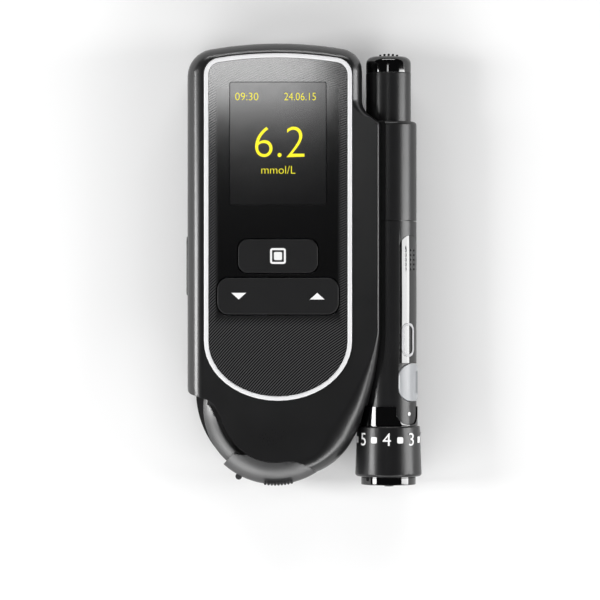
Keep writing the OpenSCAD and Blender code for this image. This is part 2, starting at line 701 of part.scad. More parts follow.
module inner_frame() color([0.55, 0.56, 0.58]) {
  difference() {
    union() {
      slab(frame_z, frame_z + frame_t) room(wall + 0.3);
      // axle of the drive gear and backing of the release spring
      translate([reel_at[0], reel_at[1], gear_z - 1.2])
        cylinder(r = axle_r, h = frame_z - gear_z + 1.2 + eps);
      translate([left_x + 5.6, release_y - 3, release_z - 2]) cube([1, 6, frame_z - release_z + 2 + eps]);
    }
    for (p = screw_at) translate([p[0], p[1], frame_z - 1]) cylinder(r = post_r + 0.1, h = 3);
    release_room();
    for (x = [-9, 9]) translate([mx + x, -31, frame_z - 1]) cylinder(r = 2.5, h = 3);
  }
}

// ---------- front panel ----------
module front_panel() color([0.03, 0.03, 0.035]) {
  difference() {
    slab(pocket_z + fit, panel_z) polygon(panel_points(ring_w + fit));
    translate([mx, window_y, pocket_z]) linear_extrude(3) rounded(window_w, window_h, 0.6);
    slab(pocket_z, meter_t) {
      translate([mx, menu_y]) rounded(menu_w + 2 * key_gap, menu_h + 2 * key_gap, 2.5 + key_gap);
      translate([mx, rocker_y]) rounded(rocker_w + 2 * key_gap, rocker_h + 2 * key_gap, 3 + key_gap);
    }
  }
}

module display_window() color([0.02, 0.02, 0.02, 0.8]) {
  translate([mx, window_y, pocket_z + fit]) linear_extrude(panel_t)
    rounded(window_w - 2 * fit, window_h - 2 * fit, 0.55);
}

module trim_ring() color([0.82, 0.83, 0.85]) {
  slab(pocket_z + fit, meter_t) difference() {
    polygon(panel_points(0));
    polygon(panel_points(ring_w));
  }
}

module display_module() color([0.2, 0.22, 0.2]) {
  w = window_w + 1.2;
  h = window_h + 4.4;
  difference() {
    translate([mx - w / 2, window_y - h / 2, board_z + board_t + fit])
      cube([w, h, skin_z - board_z - board_t - 0.15]);
    translate([mx, window_y, skin_z - 0.5]) linear_extrude(1)
      square([window_w - 1, window_h - 1], center = true);
  }
  // flat cable to the board
  translate([mx - 5, window_y - h / 2 - 3, board_z + board_t + fit]) cube([10, 3 + eps, 0.3]);
}

// ---------- keys ----------
module menu_button() color([0.07, 0.07, 0.08]) {
  translate([mx, menu_y, key_under]) {
    linear_extrude(key_top - key_under) rounded(menu_w, menu_h, 2.5);
    linear_extrude(flange_t) square([menu_w + 2, menu_h - 3], center = true);
  }
}

module rocker_button() color([0.07, 0.07, 0.08]) {
  translate([mx, rocker_y, key_under]) {
    linear_extrude(key_top - key_under) rounded(rocker_w, rocker_h, 3);
    // retaining tabs beside the pivot, and the rib that the key tilts on
    linear_extrude(flange_t) square([6, rocker_h + 2.2], center = true);
    translate([0, rocker_h / 2 - 1, membrane_z + membrane_t - key_under + 0.6])
      rotate([90, 0, 0]) cylinder(r = 0.5, h = rocker_h - 2);
    translate([-0.5, -rocker_h / 2 + 1, membrane_z + membrane_t - key_under + 0.6])
      cube([1, rocker_h - 2, key_under - membrane_z - membrane_t - 0.6 + eps]);
  }
}

module keypad_membrane() color([0.35, 0.36, 0.4]) {
  difference() {
    translate([mx, (menu_y + rocker_y) / 2, membrane_z]) linear_extrude(membrane_t)
      rounded(rocker_w + 1.6, menu_y - rocker_y + rocker_h + 1.4, 2);
    for (p = screw_at) translate([p[0], p[1], membrane_z - 1]) cylinder(r = boss_r + slip, h = 3);
  }
  for (p = [[0, menu_y], [-rocker_w / 2 + 4.5, rocker_y], [rocker_w / 2 - 4.5, rocker_y]])
    translate([mx + p[0], p[1], membrane_z + membrane_t - eps])
      cylinder(r1 = 2.6, r2 = 1.6, h = dome_h + eps);
}

module release_button() color([0.12, 0.12, 0.13]) {
  x0 = left_x - release_out;
  release_slot(release_w, release_len, x0, x0 + release_depth);
  release_slot(release_w + 1.8, release_len + 2, left_x + wall + 0.2, left_x + wall + 0.8);
}

module release_room() {
  // notch for the button's flange and its travel
  half = release_len / 2 + 1.4;
  block(left_x, left_x + wall + 0.8 + release_travel + 2 * slip, release_y - half, release_y + half,
        release_z - 4, release_z + 4);
}

module release_spring() color([0.75, 0.75, 0.77]) {
  x0 = left_x + wall + 0.8 + release_travel + slip;
  translate([x0, release_y, release_z]) rotate([0, 90, 0]) coil(1.3, 0.18, left_x + 5.6 - 0.25 - x0, 3);
}

// ---------- boards and sensing ----------
module main_board() color([0.05, 0.3, 0.15]) {
  difference() {
    slab(board_z, board_z + board_t) intersection() {
      room(wall + 0.3);
      translate([left_x, -37]) square([60, 91]);
    }
    for (p = screw_at) translate([p[0], p[1], board_z - 1]) cylinder(r = boss_r + 0.2, h = 3);
    release_room();
  }
}

module board_chips() color([0.08, 0.08, 0.08]) {
  z = board_z + board_t;
  for (c = [[-12, -24, 7, 7, 1], [7, -21, 6, 9, 0.9], [-17, -17, 3, 2, 0.7], [13, -29, 4, 3, 0.8],
            [-6, -33, 3, 2, 0.6], [3, -33, 3, 2, 0.6]])
    translate([mx + c[0] - c[2] / 2, c[1] - c[3] / 2, z]) cube([c[2], c[3], c[4]]);
}

module buzzer() color([0.15, 0.15, 0.16]) {
  translate([mx - 1.5, -24, board_z + board_t]) difference() {
    cylinder(r = 4.4, h = 1.7);
    translate([0, 0, 1.2]) cylinder(r = 0.9, h = 1);
  }
}

module optics_module() color([0.4, 0.4, 0.42]) {
  difference() {
    block(tip_c[0] - 5, tip_c[0] + 5, -50, -40.6, nose_step_z + 0.3, frame_z);
    translate([tip_c[0], -47, nose_step_z]) cylinder(r = 1.6, h = 2.5);
  }
}

// ---------- drive ----------
module drive_motor() color([0.7, 0.71, 0.73]) {
  translate([motor_at[0], motor_at[1], motor_z]) difference() {
    cylinder(r = motor_r, h = motor_top - motor_z);
    translate([0, 0, 3]) cylinder(r = pinion_shaft_r + run, h = motor_top);
  }
}

module pinion() color([0.85, 0.75, 0.45]) {
  translate([motor_at[0], motor_at[1], 0]) {
    // turned so that a gap faces the drive gear's tooth
    translate([0, 0, gear_z]) rotate(113.5 + 180 + 180 / pinion_teeth)
      linear_extrude(gear_t) gear_outline(pinion_teeth, 0.04);
    translate([0, 0, motor_z + 3.2]) cylinder(r = pinion_shaft_r, h = gear_z + gear_t - motor_z - 3.2);
  }
}

module drive_gear() color([0.9, 0.9, 0.86]) {
  translate([reel_at[0], reel_at[1], 0]) difference() {
    union() {
      translate([0, 0, gear_z]) rotate(113.5) linear_extrude(gear_t) gear_outline(gear_teeth, 0.04);
      translate([0, 0, cassette_z + 3]) cylinder(r = spindle_r, h = gear_z - cassette_z - 3 + eps);
      translate([0, 0, cassette_z + 3]) for (a = [0:60:300]) rotate(a)
        translate([spindle_r - 0.1, -0.2, 0]) cube([0.35, 0.4, 5]);
    }
    translate([0, 0, gear_z - 1.5]) cylinder(r = axle_r + run, h = 4);
    for (a = [0:60:300]) rotate(a + 30) translate([6.6, 0, gear_z - 1]) cylinder(r = 2, h = 3);
  }
}

// ---------- test cassette ----------
module cassette_case() color([0.82, 0.84, 0.86]) {
  difference() {
    union() {
      slab(cassette_z, nose_step_z) polygon(case_points);
      intersection() {
        slab(nose_step_z - eps, cassette_top - 1) polygon(case_points);
        block(-60, 60, -40, 0, 0, 20);
      }
    }
    slab(cassette_z + case_wall, cassette_top) case_shape(case_wall);
    // mouth for the tape at the lower end
    block(tip_c[0] - mouth_w / 2 + 1, tip_c[0] + mouth_w / 2 - 1, -48, -44,
          cassette_z + 1.4, nose_step_z + 1);
  }
  // pins under both reels, and the tongue that carries the tape to the tip
  for (p = [reel_at, supply_at]) translate([p[0], p[1], cassette_z + case_wall - eps])
    cylinder(r = 1.2, h = 0.8);
  translate([supply_at[0], supply_at[1], cassette_z + case_wall]) cylinder(r = 1.2, h = 6.6);
  block(tip_c[0] - tip_w / 2, tip_c[0] + tip_w / 2, tip_end + tip_w / 2, -42,
        cassette_z + case_wall - eps, 4.4);
  slab(tip_z0, tip_z1) {
    translate([tip_c[0], tip_end + tip_w / 2]) circle(tip_w / 2);
    translate([tip_c[0] - tip_w / 2, tip_end + tip_w / 2]) square([tip_w, 8]);
  }
}

module cassette_lid() color([0.75, 0.78, 0.82]) {
  difference() {
    intersection() {
      slab(cassette_top - 1 + fit, cassette_top) polygon(case_points);
      block(-60, 60, -40, 0, 0, 20);
    }
    translate([reel_at[0], reel_at[1], 0]) cylinder(r = spindle_r + 0.7, h = 20);
  }
}

module reel(r, bore) {
  difference() {
    union() {
      cylinder(r = 3.4, h = 6.4);
      translate([0, 0, 0.6]) cylinder(r = r, h = 4.4);
      cylinder(r = r * 0.96, h = 0.5);
    }
    translate([0, 0, -1]) cylinder(r = bore, h = 10);
  }
}

module take_up_reel() color([0.93, 0.93, 0.9]) {
  translate([reel_at[0], reel_at[1], cassette_z + case_wall + 0.9]) reel(take_up_r, spindle_r + 0.35);
}

module supply_reel() color([0.93, 0.93, 0.9]) {
  translate([supply_at[0], supply_at[1], cassette_z + case_wall + 0.9]) reel(supply_r, 1.2 + run);
}

module strip(p, q) {
  d = q - p;
  translate(p) rotate(atan2(d[1], d[0])) translate([0, -tape_t / 2]) square([norm(d), tape_t]);
}

module test_tape() color([0.95, 0.95, 0.93]) {
  // from the supply reel down one side of the tongue, round its end and back up to the take-up reel
  x0 = tip_c[0] - tip_w / 2 - 0.25;
  x1 = tip_c[0] + tip_w / 2 + 0.25;
  y1 = tip_end + tip_w / 2;
  slab(tape_z0, tape_z0 + tape_h) {
    strip([supply_at[0] + supply_r * 0.2, supply_at[1] - supply_r - 0.3], [x1, -43.6]);
    strip([x1, -43.6 + tape_t / 2], [x1, y1]);
    strip([x0, -43.6 + tape_t / 2], [x0, y1]);
    strip([x0, -43.6], [reel_at[0] - 3.5, reel_at[1] - take_up_r - 0.3]);
    translate([tip_c[0], y1]) difference() {
      circle(tip_w / 2 + 0.25 + tape_t / 2);
      circle(tip_w / 2 + 0.25 - tape_t / 2);
      translate([-5, 0]) square([10, 5]);
    }
  }
}

// ---------- tip cover ----------
module tip_cover() color([0.32, 0.32, 0.33]) {
  low = split_z + slip;
  outer = cover_slope(0);
  inner = cover_slope(cover_wall);
  top = outer[len(outer) - 1][1];
  difference() {
    union() {
      on_tip(cover_a0) rotate_extrude(angle = cover_a1 - cover_a0) polygon(concat(
        [[cover_r - cover_wall, low], [cover_r, low]], outer, [for (i = [len(inner) - 1:-1:0]) inner[i]]));
      // thumb ridges across the lower end, and the stop bump
      for (i = [0:ridges - 1]) on_tip(262.5 + 20 * i / (ridges - 1)) translate([cover_r - 0.12, 0, low])
        cylinder(r = 0.36, h = 7);
      on_tip(242) translate([cover_r + 0.3, 0, low]) cylinder(r = 0.9, h = 4.5);
    }
    // swept front edge at the pointed left end
    on_tip(cover_a0 - 8.5) translate([nose_r - 3.2, 0, top - 2.5]) cylinder(r = 5.6, h = 6);
    slab(0, meter_t) polygon(grown(front_points, 0.2));
  }
}

// ---------- back covers ----------
module cassette_cover() color([0.12, 0.12, 0.13]) {
  difference() {
    union() {
      slab(0, back_t) polygon(door_points);
      block(door_points[5][0] - 1.5, hinge_x, hinge_y0 + 0.1, hinge_y1 - 0.1, 0.4, back_t + 0.2);
      translate([hinge_x, hinge_y0 + 0.1, hinge_z]) rotate([-90, 0, 0])
        cylinder(r = knuckle_r, h = hinge_len - 0.2);
      // snap tongue at the free side
      block(door_points[0][0] + 0.6, door_points[0][0] + 1.5, -24, -18, back_t - eps, back_t + 0.7);
    }
    translate([hinge_x, hinge_y0 - 1, hinge_z]) rotate([-90, 0, 0])
      cylinder(r = hinge_pin_r + run, h = hinge_len + 2);
    // finger recess
    translate([door_points[0][0] + 3.6, -21, -1.4]) cylinder(r = 3, h = 2);
  }
}

module cover_hinge_pin() color([0.78, 0.79, 0.8]) {
  translate([hinge_x, hinge_y0 - 2.3, hinge_z]) rotate([-90, 0, 0])
    cylinder(r = hinge_pin_r, h = hinge_len + 4.6);
}

module battery_cover() color([0.12, 0.12, 0.13]) {
  x0 = cell_x - bat_cover_half_w;
  x1 = cell_x + bat_cover_half_w;
  difference() {
    union() {
      intersection() {
        loft(rear_points, split_z, 0, -1, back_edge_h);
        block(x0, x1, bat_cover_y, body_top + 1, -eps, back_t);
      }
      // side runners under the rear face
      for (s = [-1, 1]) {
        translate([cell_x + s * (bat_cover_half_w - 0.65) - 0.6, bat_cover_y, back_t - slip])
          cube([1.2, 46, runner_t]);
        translate([cell_x + s * (bat_cover_half_w - 0.2) - 1, bat_cover_y, back_t + slip])
          cube([2, 46, runner_t - slip - 0.1]);
      }
    }
    for (i = [0:4]) translate([cell_x - 5, bat_cover_y + 4 + 1.8 * i, -eps]) cube([10, 0.8, 0.45]);
  }
}

// ---------- batteries ----------
module battery_tray() color([0.2, 0.2, 0.21]) {
  w = bay_half_w + tray_wall;
  difference() {
    block(cell_x - w, cell_x + w, tray_y0, tray_y1, tray_z, frame_z - fit);
    block(cell_x - bay_half_w, cell_x + bay_half_w, tray_y0 + tray_wall, tray_y1 - tray_wall, tray_z - 1,
          cell_z + cell_d / 2 + 0.15);
    for (s = [-1, 1]) translate([cell_x + s * cell_pitch / 2, tray_y1 - 2, cell_z]) rotate([-90, 0, 0])
      cylinder(r = 1.2, h = 3);
  }
}

module battery_contacts() color([0.8, 0.78, 0.7]) {
  y = cell_y0 + cell_len + 0.1;
  for (s = [-1, 1])
    block(cell_x + s * cell_pitch / 2 - 4, cell_x + s * cell_pitch / 2 + 4, y, y + 0.35,
          cell_z - 4, cell_z + 4);
}

module battery_springs() color([0.8, 0.78, 0.7]) {
  for (s = [-1, 1]) translate([cell_x + s * cell_pitch / 2, tray_y0 + tray_wall + 0.35, cell_z])
    rotate([-90, 0, 0]) coil(2.6, 0.3, spring_room - 0.7, 3);
}

module batteries() color([0.75, 0.6, 0.25]) {
  for (s = [-1, 1]) translate([cell_x + s * cell_pitch / 2, cell_y0, cell_z]) rotate([-90, 0, 0]) {
    cylinder(r = cell_d / 2, h = cell_len - 1.2);
    cylinder(r = 1.9, h = cell_len);
  }
}

module housing_screws() color([0.7, 0.7, 0.72]) {
  for (p = screw_at) translate([p[0], p[1], screw_sink]) difference() {
    union() {
      cylinder(r = screw_head_r, h = screw_head_t);
      cylinder(r = screw_r, h = screw_top - screw_sink);
    }
    for (a = [0, 90]) rotate(a) translate([-1.2, -0.2, -eps]) cube([2.4, 0.4, 0.7]);
  }
}

// ---------- pen ----------
module inlay_shape(d) {
  rounded(inlay_len + 2 * d, inlay_w + 2 * d, inlay_w / 2 - 0.2 + d);
  translate([inlay_len / 4 + d / 2, 0]) square([inlay_len / 2 + d, inlay_w + 2 * d], center = true);
}

module lever_shape(d) {
  rounded(lever_len + 2 * d, lever_w + 2 * d, 3.4 + d);
}

module tongue_shape(d) {
  rounded(2 * (tongue_y - tongue_low) + 2 * d, tongue_w + 2 * d, 3 + d);
}

// shallow step in the barrels along the housing's lip
module dock_step() {
  intersection() {
    pen_tube(barrel_r - dock_depth, barrel_r + 1, barrel_low - 1, barrel_top + 1);
    slab(pen_z + 3, meter_t) polygon(grown(front_points, dock_gap));
  }
}

module pen_upper_barrel() color([0.14, 0.14, 0.15]) {
  h = barrel_top - barrel_seam;
  difference() {
    on_pen(barrel_seam) rotate_extrude() polygon(concat(
      [[barrel_bore_r + 0.65, 0], [barrel_r, 0]],
      [for (i = [0:6]) let (a = 15 * i) [barrel_r - 1 + cos(a), h - 1 + sin(a)]],
      [[barrel_bore_r - 0.15, h], [barrel_bore_r - 0.15, h - 2], [barrel_bore_r, h - 2.2], [barrel_bore_r, 4],
       [barrel_bore_r + 0.65, 3.9]]));
    // slanted rim: lower on the right
    translate([pen_off + barrel_r, barrel_top - 1, pen_z]) rotate([0, 0, -6])
      translate([-3 * barrel_r, 1.9, -barrel_r - 1]) cube([4 * barrel_r, 4, 2 * barrel_r + 2]);
    dock_step();
  }
}

module pen_lower_barrel() color([0.14, 0.14, 0.15]) {
  difference() {
    union() {
      pen_tube(barrel_bore_r, barrel_r, barrel_low, barrel_seam - 0.25);
      pen_tube(barrel_bore_r, barrel_bore_r + 0.6, barrel_seam - 1, barrel_seam + 3.7);
      pen_tube(barrel_bore_r - 0.1, spigot_r, spigot_low, barrel_low + 1);
      pen_tube(rod_r + 0.1, barrel_bore_r + 0.3, -6, -4);
      pen_patch(spigot_r + 0.25, barrel_r, tongue_y, tongue_a, 10) tongue_shape(0);
    }
    dock_step();
    // seat of the side inlay
    pen_patch(barrel_r - 0.5, barrel_r + 1, (inlay_y0 + inlay_y1) / 2, side_a, 20) inlay_shape(0.1);
    // window of the lever, with room for its swing
    pen_patch(barrel_bore_r - 1, barrel_r + 1, (lever_y0 + lever_y1) / 2, lever_a, 9) lever_shape(slip);
    pen_sector(barrel_bore_r - 1.2, barrel_r + 1.2, lever_y0 - slip / 2, lever_y1 + slip / 2,
               lever_a, lever_end_a + lever_swing + 1.5);
  }
}

module pen_rail() color([0.16, 0.16, 0.17]) {
  difference() {
    union() {
      block(rail_x0, rail_x1, rail_y0, rail_y1, pen_z - rail_head_h / 2, pen_z + rail_head_h / 2);
      block(rail_x1 - eps, pen_off - barrel_r + 0.6, rail_y0, rail_y1,
            pen_z - rail_neck_h / 2, pen_z + rail_neck_h / 2);
    }
    pen_tube(0, barrel_r + 0.02, rail_y0 - 1, rail_y1 + 1);
  }
}

module side_inlay() color([0.02, 0.02, 0.02]) {
  difference() {
    pen_patch(barrel_r - 0.35, barrel_r + 0.08, (inlay_y0 + inlay_y1) / 2, side_a, 20) inlay_shape(0);
    // grip dimples
    for (j = [0:4], a = [-13, 0, 13]) on_pen(3.9 - 1.28 * j) rotate(side_a + a - 90)
      translate([barrel_r - 0.15, 0, 0]) rotate([0, 90, 0]) cylinder(r = 0.35, h = 1);
  }
}

module symbol_pad() color([0.75, 0.76, 0.78]) {
  intersection() {
    pen_tube(barrel_r + 0.1, barrel_r + 0.3, -25.4, -15.6);
    on_pen(-20.5) rotate(side_a - 96) rotate([0, 90, 0]) linear_extrude(12) difference() {
      rounded(9.2, 4.4, 2.1);
      rounded(7.8, 3, 1.4);
    }
  }
}

module index_dot() color([0.95, 0.95, 0.95]) {
  on_pen(-40.7) rotate(side_a - 4 - 90) translate([barrel_r + 0.02, 0, 0]) rotate([0, 90, 0])
    cylinder(r = 0.55, h = 0.12);
}

module pen_lever() color([0.78, 0.8, 0.82, 0.85]) {
  difference() {
    pen_patch(barrel_bore_r + 0.3, lever_r, (lever_y0 + lever_y1) / 2, lever_a, 9) lever_shape(0);
    for (a = [70:6:82]) on_pen(lever_y0 + 2) rotate(a - 90) translate([lever_r, 0, 0])
      cylinder(r = 0.3, h = lever_y1 - lever_y0 - 4);
  }
}

module plunger() color([0.13, 0.13, 0.14]) {
  pen_tube(5, plunger_r, barrel_top - plunger_travel - 4.7, plunger_cap_y);
  pen_tube(0, 5.1, plunger_cap_y - 2.4, plunger_cap_y - 1);
}

module plunger_cap() color([0.03, 0.03, 0.03]) {
  h = plunger_top - plunger_cap_y;
  on_pen(plunger_cap_y) {
    rotate_extrude() polygon(concat([[0, fit], [plunger_r, fit]],
      [for (i = [0:5]) let (a = 18 * i) [plunger_r - 1.9 * (1 - cos(a)), h - 2.6 + 1.9 * sin(a)]],
      [[0, h - 0.3]]));
    translate([0, 0, -0.9]) cylinder(r = 4.9, h = 1);
    for (i = [-2:2]) translate([1.15 * i - 0.3, -2.6, h - 1.2]) cube([0.6, 5.2, 1.2 - 0.06 * i * i]);
  }
}

module drive_spring() color([0.8, 0.8, 0.82]) {
  on_pen(barrel_top - 8) coil(4.3, 0.4, plunger_cap_y - 2.4 - 0.5 - barrel_top + 8, 8);
}

module hammer() color([0.65, 0.66, 0.68]) {
  pen_tube(0, rod_r, -52, 17);
  pen_tube(0, barrel_bore_r - 0.25, 16, 20);
  pen_tube(0, 4, 9.4, 10.4);
}

module return_spring() color([0.8, 0.8, 0.82]) {
  on_pen(-3.6) coil(2.4, 0.3, 12.6, 7);
}

module cap_sleeve() color([0.03, 0.03, 0.03]) {
  difference() {
    union() {
      pen_tube(cap_bore_r, collar_r, dial_top + 0.1, barrel_low - fit);
      pen_tube(cap_bore_r, cap_core_r, pen_low + 2.3, dial_top + 0.2);
    }
    pen_patch(cap_bore_r - 1, collar_r + 1, tongue_y, tongue_a, 10) tongue_shape(0.25);
  }
}

module cap_nose() color([0.03, 0.03, 0.03]) {
  difference() {
    union() {
      pen_tube(0, cap_core_r, pen_low + 0.25, pen_low + 2.25);
      pen_tube(0, cap_bore_r - fit, pen_low + 2, pen_low + 3.2);
      on_pen(pen_low) translate([-0.9, -5.9, 0]) rounded_nub();
    }
    pen_tube(0, 1.6, pen_low - 1, pen_low + 4);
    pen_tube(0, 5, pen_low + 1.6, pen_low + 4);
  }
}

module rounded_nub() {
  translate([0.9, 0, 0]) cylinder(r = 1.3, h = 1);
}

module depth_dial() color([0.1, 0.1, 0.11]) {
  h = dial_top - dial_low;
  difference() {
    on_pen(dial_low) rotate_extrude() polygon(concat(
      [[cap_core_r + run, 0]],
      [for (i = [0:4]) let (a = -90 + 22.5 * i) [dial_r_low - 0.8 + 0.8 * cos(a), 0.8 + 0.8 * sin(a)]],
      [[dial_r_top, h - 0.25], [dial_r_top - 0.25, h], [cap_core_r + run, h]]));
  }
}

module lancet_drum() color([0.9, 0.9, 0.92]) {
  difference() {
    pen_tube(rod_r + run, drum_r, drum_low, drum_high);
    for (i = [0:lancet_count - 1]) on_pen(drum_low - 1)
      rotate(360 * i / lancet_count) translate([lancet_ring_r, 0, 0])
        cylinder(r = 1.05, h = 20);
  }
}

module lancets() color([0.6, 0.75, 0.9]) {
  for (i = [0:lancet_count - 1]) on_pen(lancet_low)
    rotate(360 * i / lancet_count) translate([lancet_ring_r, 0, 0]) {
      cylinder(r = 1, h = 10);
      translate([0, 0, -2]) cylinder(r = 0.2, h = 3);
    }
}

front_housing();
rear_housing();
nose_track();
inner_frame();
front_panel();
display_window();
trim_ring();
display_module();
menu_button();
rocker_button();
keypad_membrane();
main_board();
board_chips();
buzzer();
optics_module();
drive_motor();
pinion();
drive_gear();
cassette_case();
cassette_lid();
take_up_reel();
supply_reel();
test_tape();
tip_cover();
cassette_cover();
cover_hinge_pin();
battery_cover();
battery_tray();
battery_contacts();
battery_springs();
batteries();
release_button();
release_spring();
housing_screws();
pen_upper_barrel();
pen_lower_barrel();
pen_rail();
side_inlay();
symbol_pad();
index_dot();
pen_lever();
plunger();
plunger_cap();
drive_spring();
hammer();
return_spring();
cap_sleeve();
cap_nose();
depth_dial();
lancet_drum();
lancets();
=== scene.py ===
"""Looks of a hand-held blood glucose meter with a lancing pen docked on its side.

The meter lies on its back: +X right, +Y up its length, +Z out of the front face.  Everything is in metres.
"""
import json
import logging
import math
from collections.abc import Iterator, Mapping, Sequence
from contextlib import contextmanager
from dataclasses import dataclass
from enum import Enum

import bpy
from mathutils import Matrix, Vector


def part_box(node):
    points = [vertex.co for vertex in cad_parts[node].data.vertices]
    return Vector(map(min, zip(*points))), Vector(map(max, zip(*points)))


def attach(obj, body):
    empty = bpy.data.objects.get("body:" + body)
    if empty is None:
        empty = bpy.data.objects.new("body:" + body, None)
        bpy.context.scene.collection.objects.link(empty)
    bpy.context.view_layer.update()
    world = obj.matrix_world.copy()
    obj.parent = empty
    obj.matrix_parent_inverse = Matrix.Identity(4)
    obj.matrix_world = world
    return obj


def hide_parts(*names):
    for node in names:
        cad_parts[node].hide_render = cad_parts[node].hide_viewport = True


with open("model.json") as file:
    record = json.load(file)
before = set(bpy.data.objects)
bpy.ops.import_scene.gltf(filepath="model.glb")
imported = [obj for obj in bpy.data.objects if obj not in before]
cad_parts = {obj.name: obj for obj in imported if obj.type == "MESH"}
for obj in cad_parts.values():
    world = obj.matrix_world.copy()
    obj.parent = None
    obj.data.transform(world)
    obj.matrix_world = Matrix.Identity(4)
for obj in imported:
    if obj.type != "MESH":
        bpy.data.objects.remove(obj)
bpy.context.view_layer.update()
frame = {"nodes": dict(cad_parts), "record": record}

MM = 0.001
Color = tuple[float, float, float]
Point = tuple[float, float, float]
log = logging.getLogger("meter")


def node_box(name: str) -> tuple[Vector, Vector]:
    """Lowest and highest corner of a CAD node.

    Args:
        name: The node's name.

    Returns:
        The two corners in metres.
    """
    low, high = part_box(name)
    return Vector(low), Vector(high)


def middle(name: str) -> Vector:
    """Centre of a CAD node's box."""
    low, high = node_box(name)
    return (low + high) / 2


# ---------- shader sheets ----------
class Value:
    """One shader output; Python's operators on it add Math nodes."""

    def __init__(self, sheet: "Sheet", socket: bpy.types.NodeSocket) -> None:
        """Keeps the sheet and the socket."""
        self.sheet = sheet
        self.socket = socket

    def math(self, operation: str, *values: "Value | float") -> "Value":
        """Adds one Math node.

        Args:
            operation: Blender's name of the operation.
            values: The node's inputs in order.

        Returns:
            The node's result.
        """
        return self.sheet.node("ShaderNodeMath", {"operation": operation}, dict(enumerate(values)))

    def __add__(self, other: "Value | float") -> "Value":
        """Sum."""
        return self.math("ADD", self, other)

    __radd__ = __add__

    def __sub__(self, other: "Value | float") -> "Value":
        """Difference."""
        return self.math("SUBTRACT", self, other)

    def __rsub__(self, other: float) -> "Value":
        """Difference from a number."""
        return self.math("SUBTRACT", other, self)

    def __mul__(self, other: "Value | float") -> "Value":
        """Product."""
        return self.math("MULTIPLY", self, other)

    __rmul__ = __mul__

    def __truediv__(self, other: "Value | float") -> "Value":
        """Quotient."""
        return self.math("DIVIDE", self, other)

    def __pow__(self, other: float) -> "Value":
        """Power."""
        return self.math("POWER", self, other)

    def __abs__(self) -> "Value":
        """Size without its sign."""
        return self.math("ABSOLUTE", self)

    def larger(self, other: "Value | float") -> "Value":
        """The larger of two values."""
        return self.math("MAXIMUM", self, other)

    def step(self, low: float, high: float) -> "Value":
        """Smooth ramp from 0 at low to 1 at high; low may be the larger one."""
        return self.sheet.node("ShaderNodeMapRange", {"interpolation_type": "SMOOTHSTEP"},
                               {0: self, 1: low, 2: high, 3: 0.0, 4: 1.0})


class Sheet:
    """The node sheet of one material."""

    def __init__(self, name: str) -> None:
        """Makes an empty material with a Principled shader.

        Args:
            name: The material's name.
        """
        self.material = bpy.data.materials.new(name)
        self.material.use_nodes = True
        self.nodes = self.material.node_tree.nodes
        self.links = self.material.node_tree.links
        self.nodes.clear()
        self.shader = self.nodes.new("ShaderNodeBsdfPrincipled")
        output = self.nodes.new("ShaderNodeOutputMaterial")
        self.links.new(self.shader.outputs[0], output.inputs[0])

    def node(self, kind: str, settings: Mapping[str, object], inputs: Mapping[int | str, object],
             output: int | str = 0) -> Value:
        """Adds any node: its settings first, then its sockets.

        Args:
            kind: Blender's type name of the node.
            settings: Properties of the node.
            inputs: Socket index or name to a value or a link.
            output: The output that is returned.

        Returns:
            The chosen output.
        """
        made = self.nodes.new(kind)
        for key, setting in settings.items():
            setattr(made, key, setting)
        for key, value in inputs.items():
            self._feed(made.inputs[key], value)
        return Value(self, made.outputs[output])

    def _feed(self, socket: bpy.types.NodeSocket, value: object) -> None:
        """Links a Value to a socket, or writes a plain number or colour on it."""
        if isinstance(value, Value):
            self.links.new(value.socket, socket)
        elif isinstance(value, tuple) and socket.type == "RGBA" and len(value) == 3:
            socket.default_value = (*value, 1.0)
        else:
            socket.default_value = value

    def place(self) -> Value:
        """Object coordinates in metres."""
        return self.node("ShaderNodeTexCoord", {}, {}, "Object")

    def axis(self, index: int, centre: float = 0.0) -> Value:
        """One object coordinate in millimetres.

        Args:
            index: 0, 1 or 2 for X, Y or Z.
            centre: Millimetres to take off.

        Returns:
            The coordinate.
        """
        split = self.node("ShaderNodeSeparateXYZ", {}, {0: self.place()}, index)
        return split / MM - centre

    def noise(self, per_mm: float, detail: float = 2.0, stretch: Point = (1, 1, 1)) -> Value:
        """Soft noise from 0 to 1.

        Args:
            per_mm: Cells in a millimetre.
            detail: Octaves.
            stretch: Factors on the three axes.

        Returns:
            The noise.
        """
        spot = self.node("ShaderNodeMapping", {}, {"Vector": self.place(), "Scale": stretch})
        return self.node("ShaderNodeTexNoise", {}, {"Vector": spot, "Scale": per_mm / MM, "Detail": detail})

    def blend(self, mask: Value | float, low: object, high: object) -> Value:
        """Mixes two colours by a mask."""
        return self.node("ShaderNodeMix", {"data_type": "RGBA"}, {0: mask, 6: low, 7: high}, 2)

    def bump(self, height: Value, depth_mm: float) -> None:
        """Turns a height from 0 to 1 into the shader's normal.

        Args:
            height: The height field.
            depth_mm: Depth of the relief in millimetres.
        """
        relief = self.node("ShaderNodeBump", {},
                           {"Height": height, "Distance": depth_mm * MM, "Strength": 1.0})
        self._feed(self.shader.inputs["Normal"], relief)

    def set(self, **sockets: object) -> None:
        """Feeds the Principled shader; an underscore in a name stands for a space."""
        for key, value in sockets.items():
            self._feed(self.shader.inputs[key.replace("_", " ")], value)


def shades(color: Color, factor: float) -> tuple[float, float, float, float]:
    """A colour made lighter or darker by one factor."""
    return (*(min(1.0, c * factor) for c in color), 1.0)


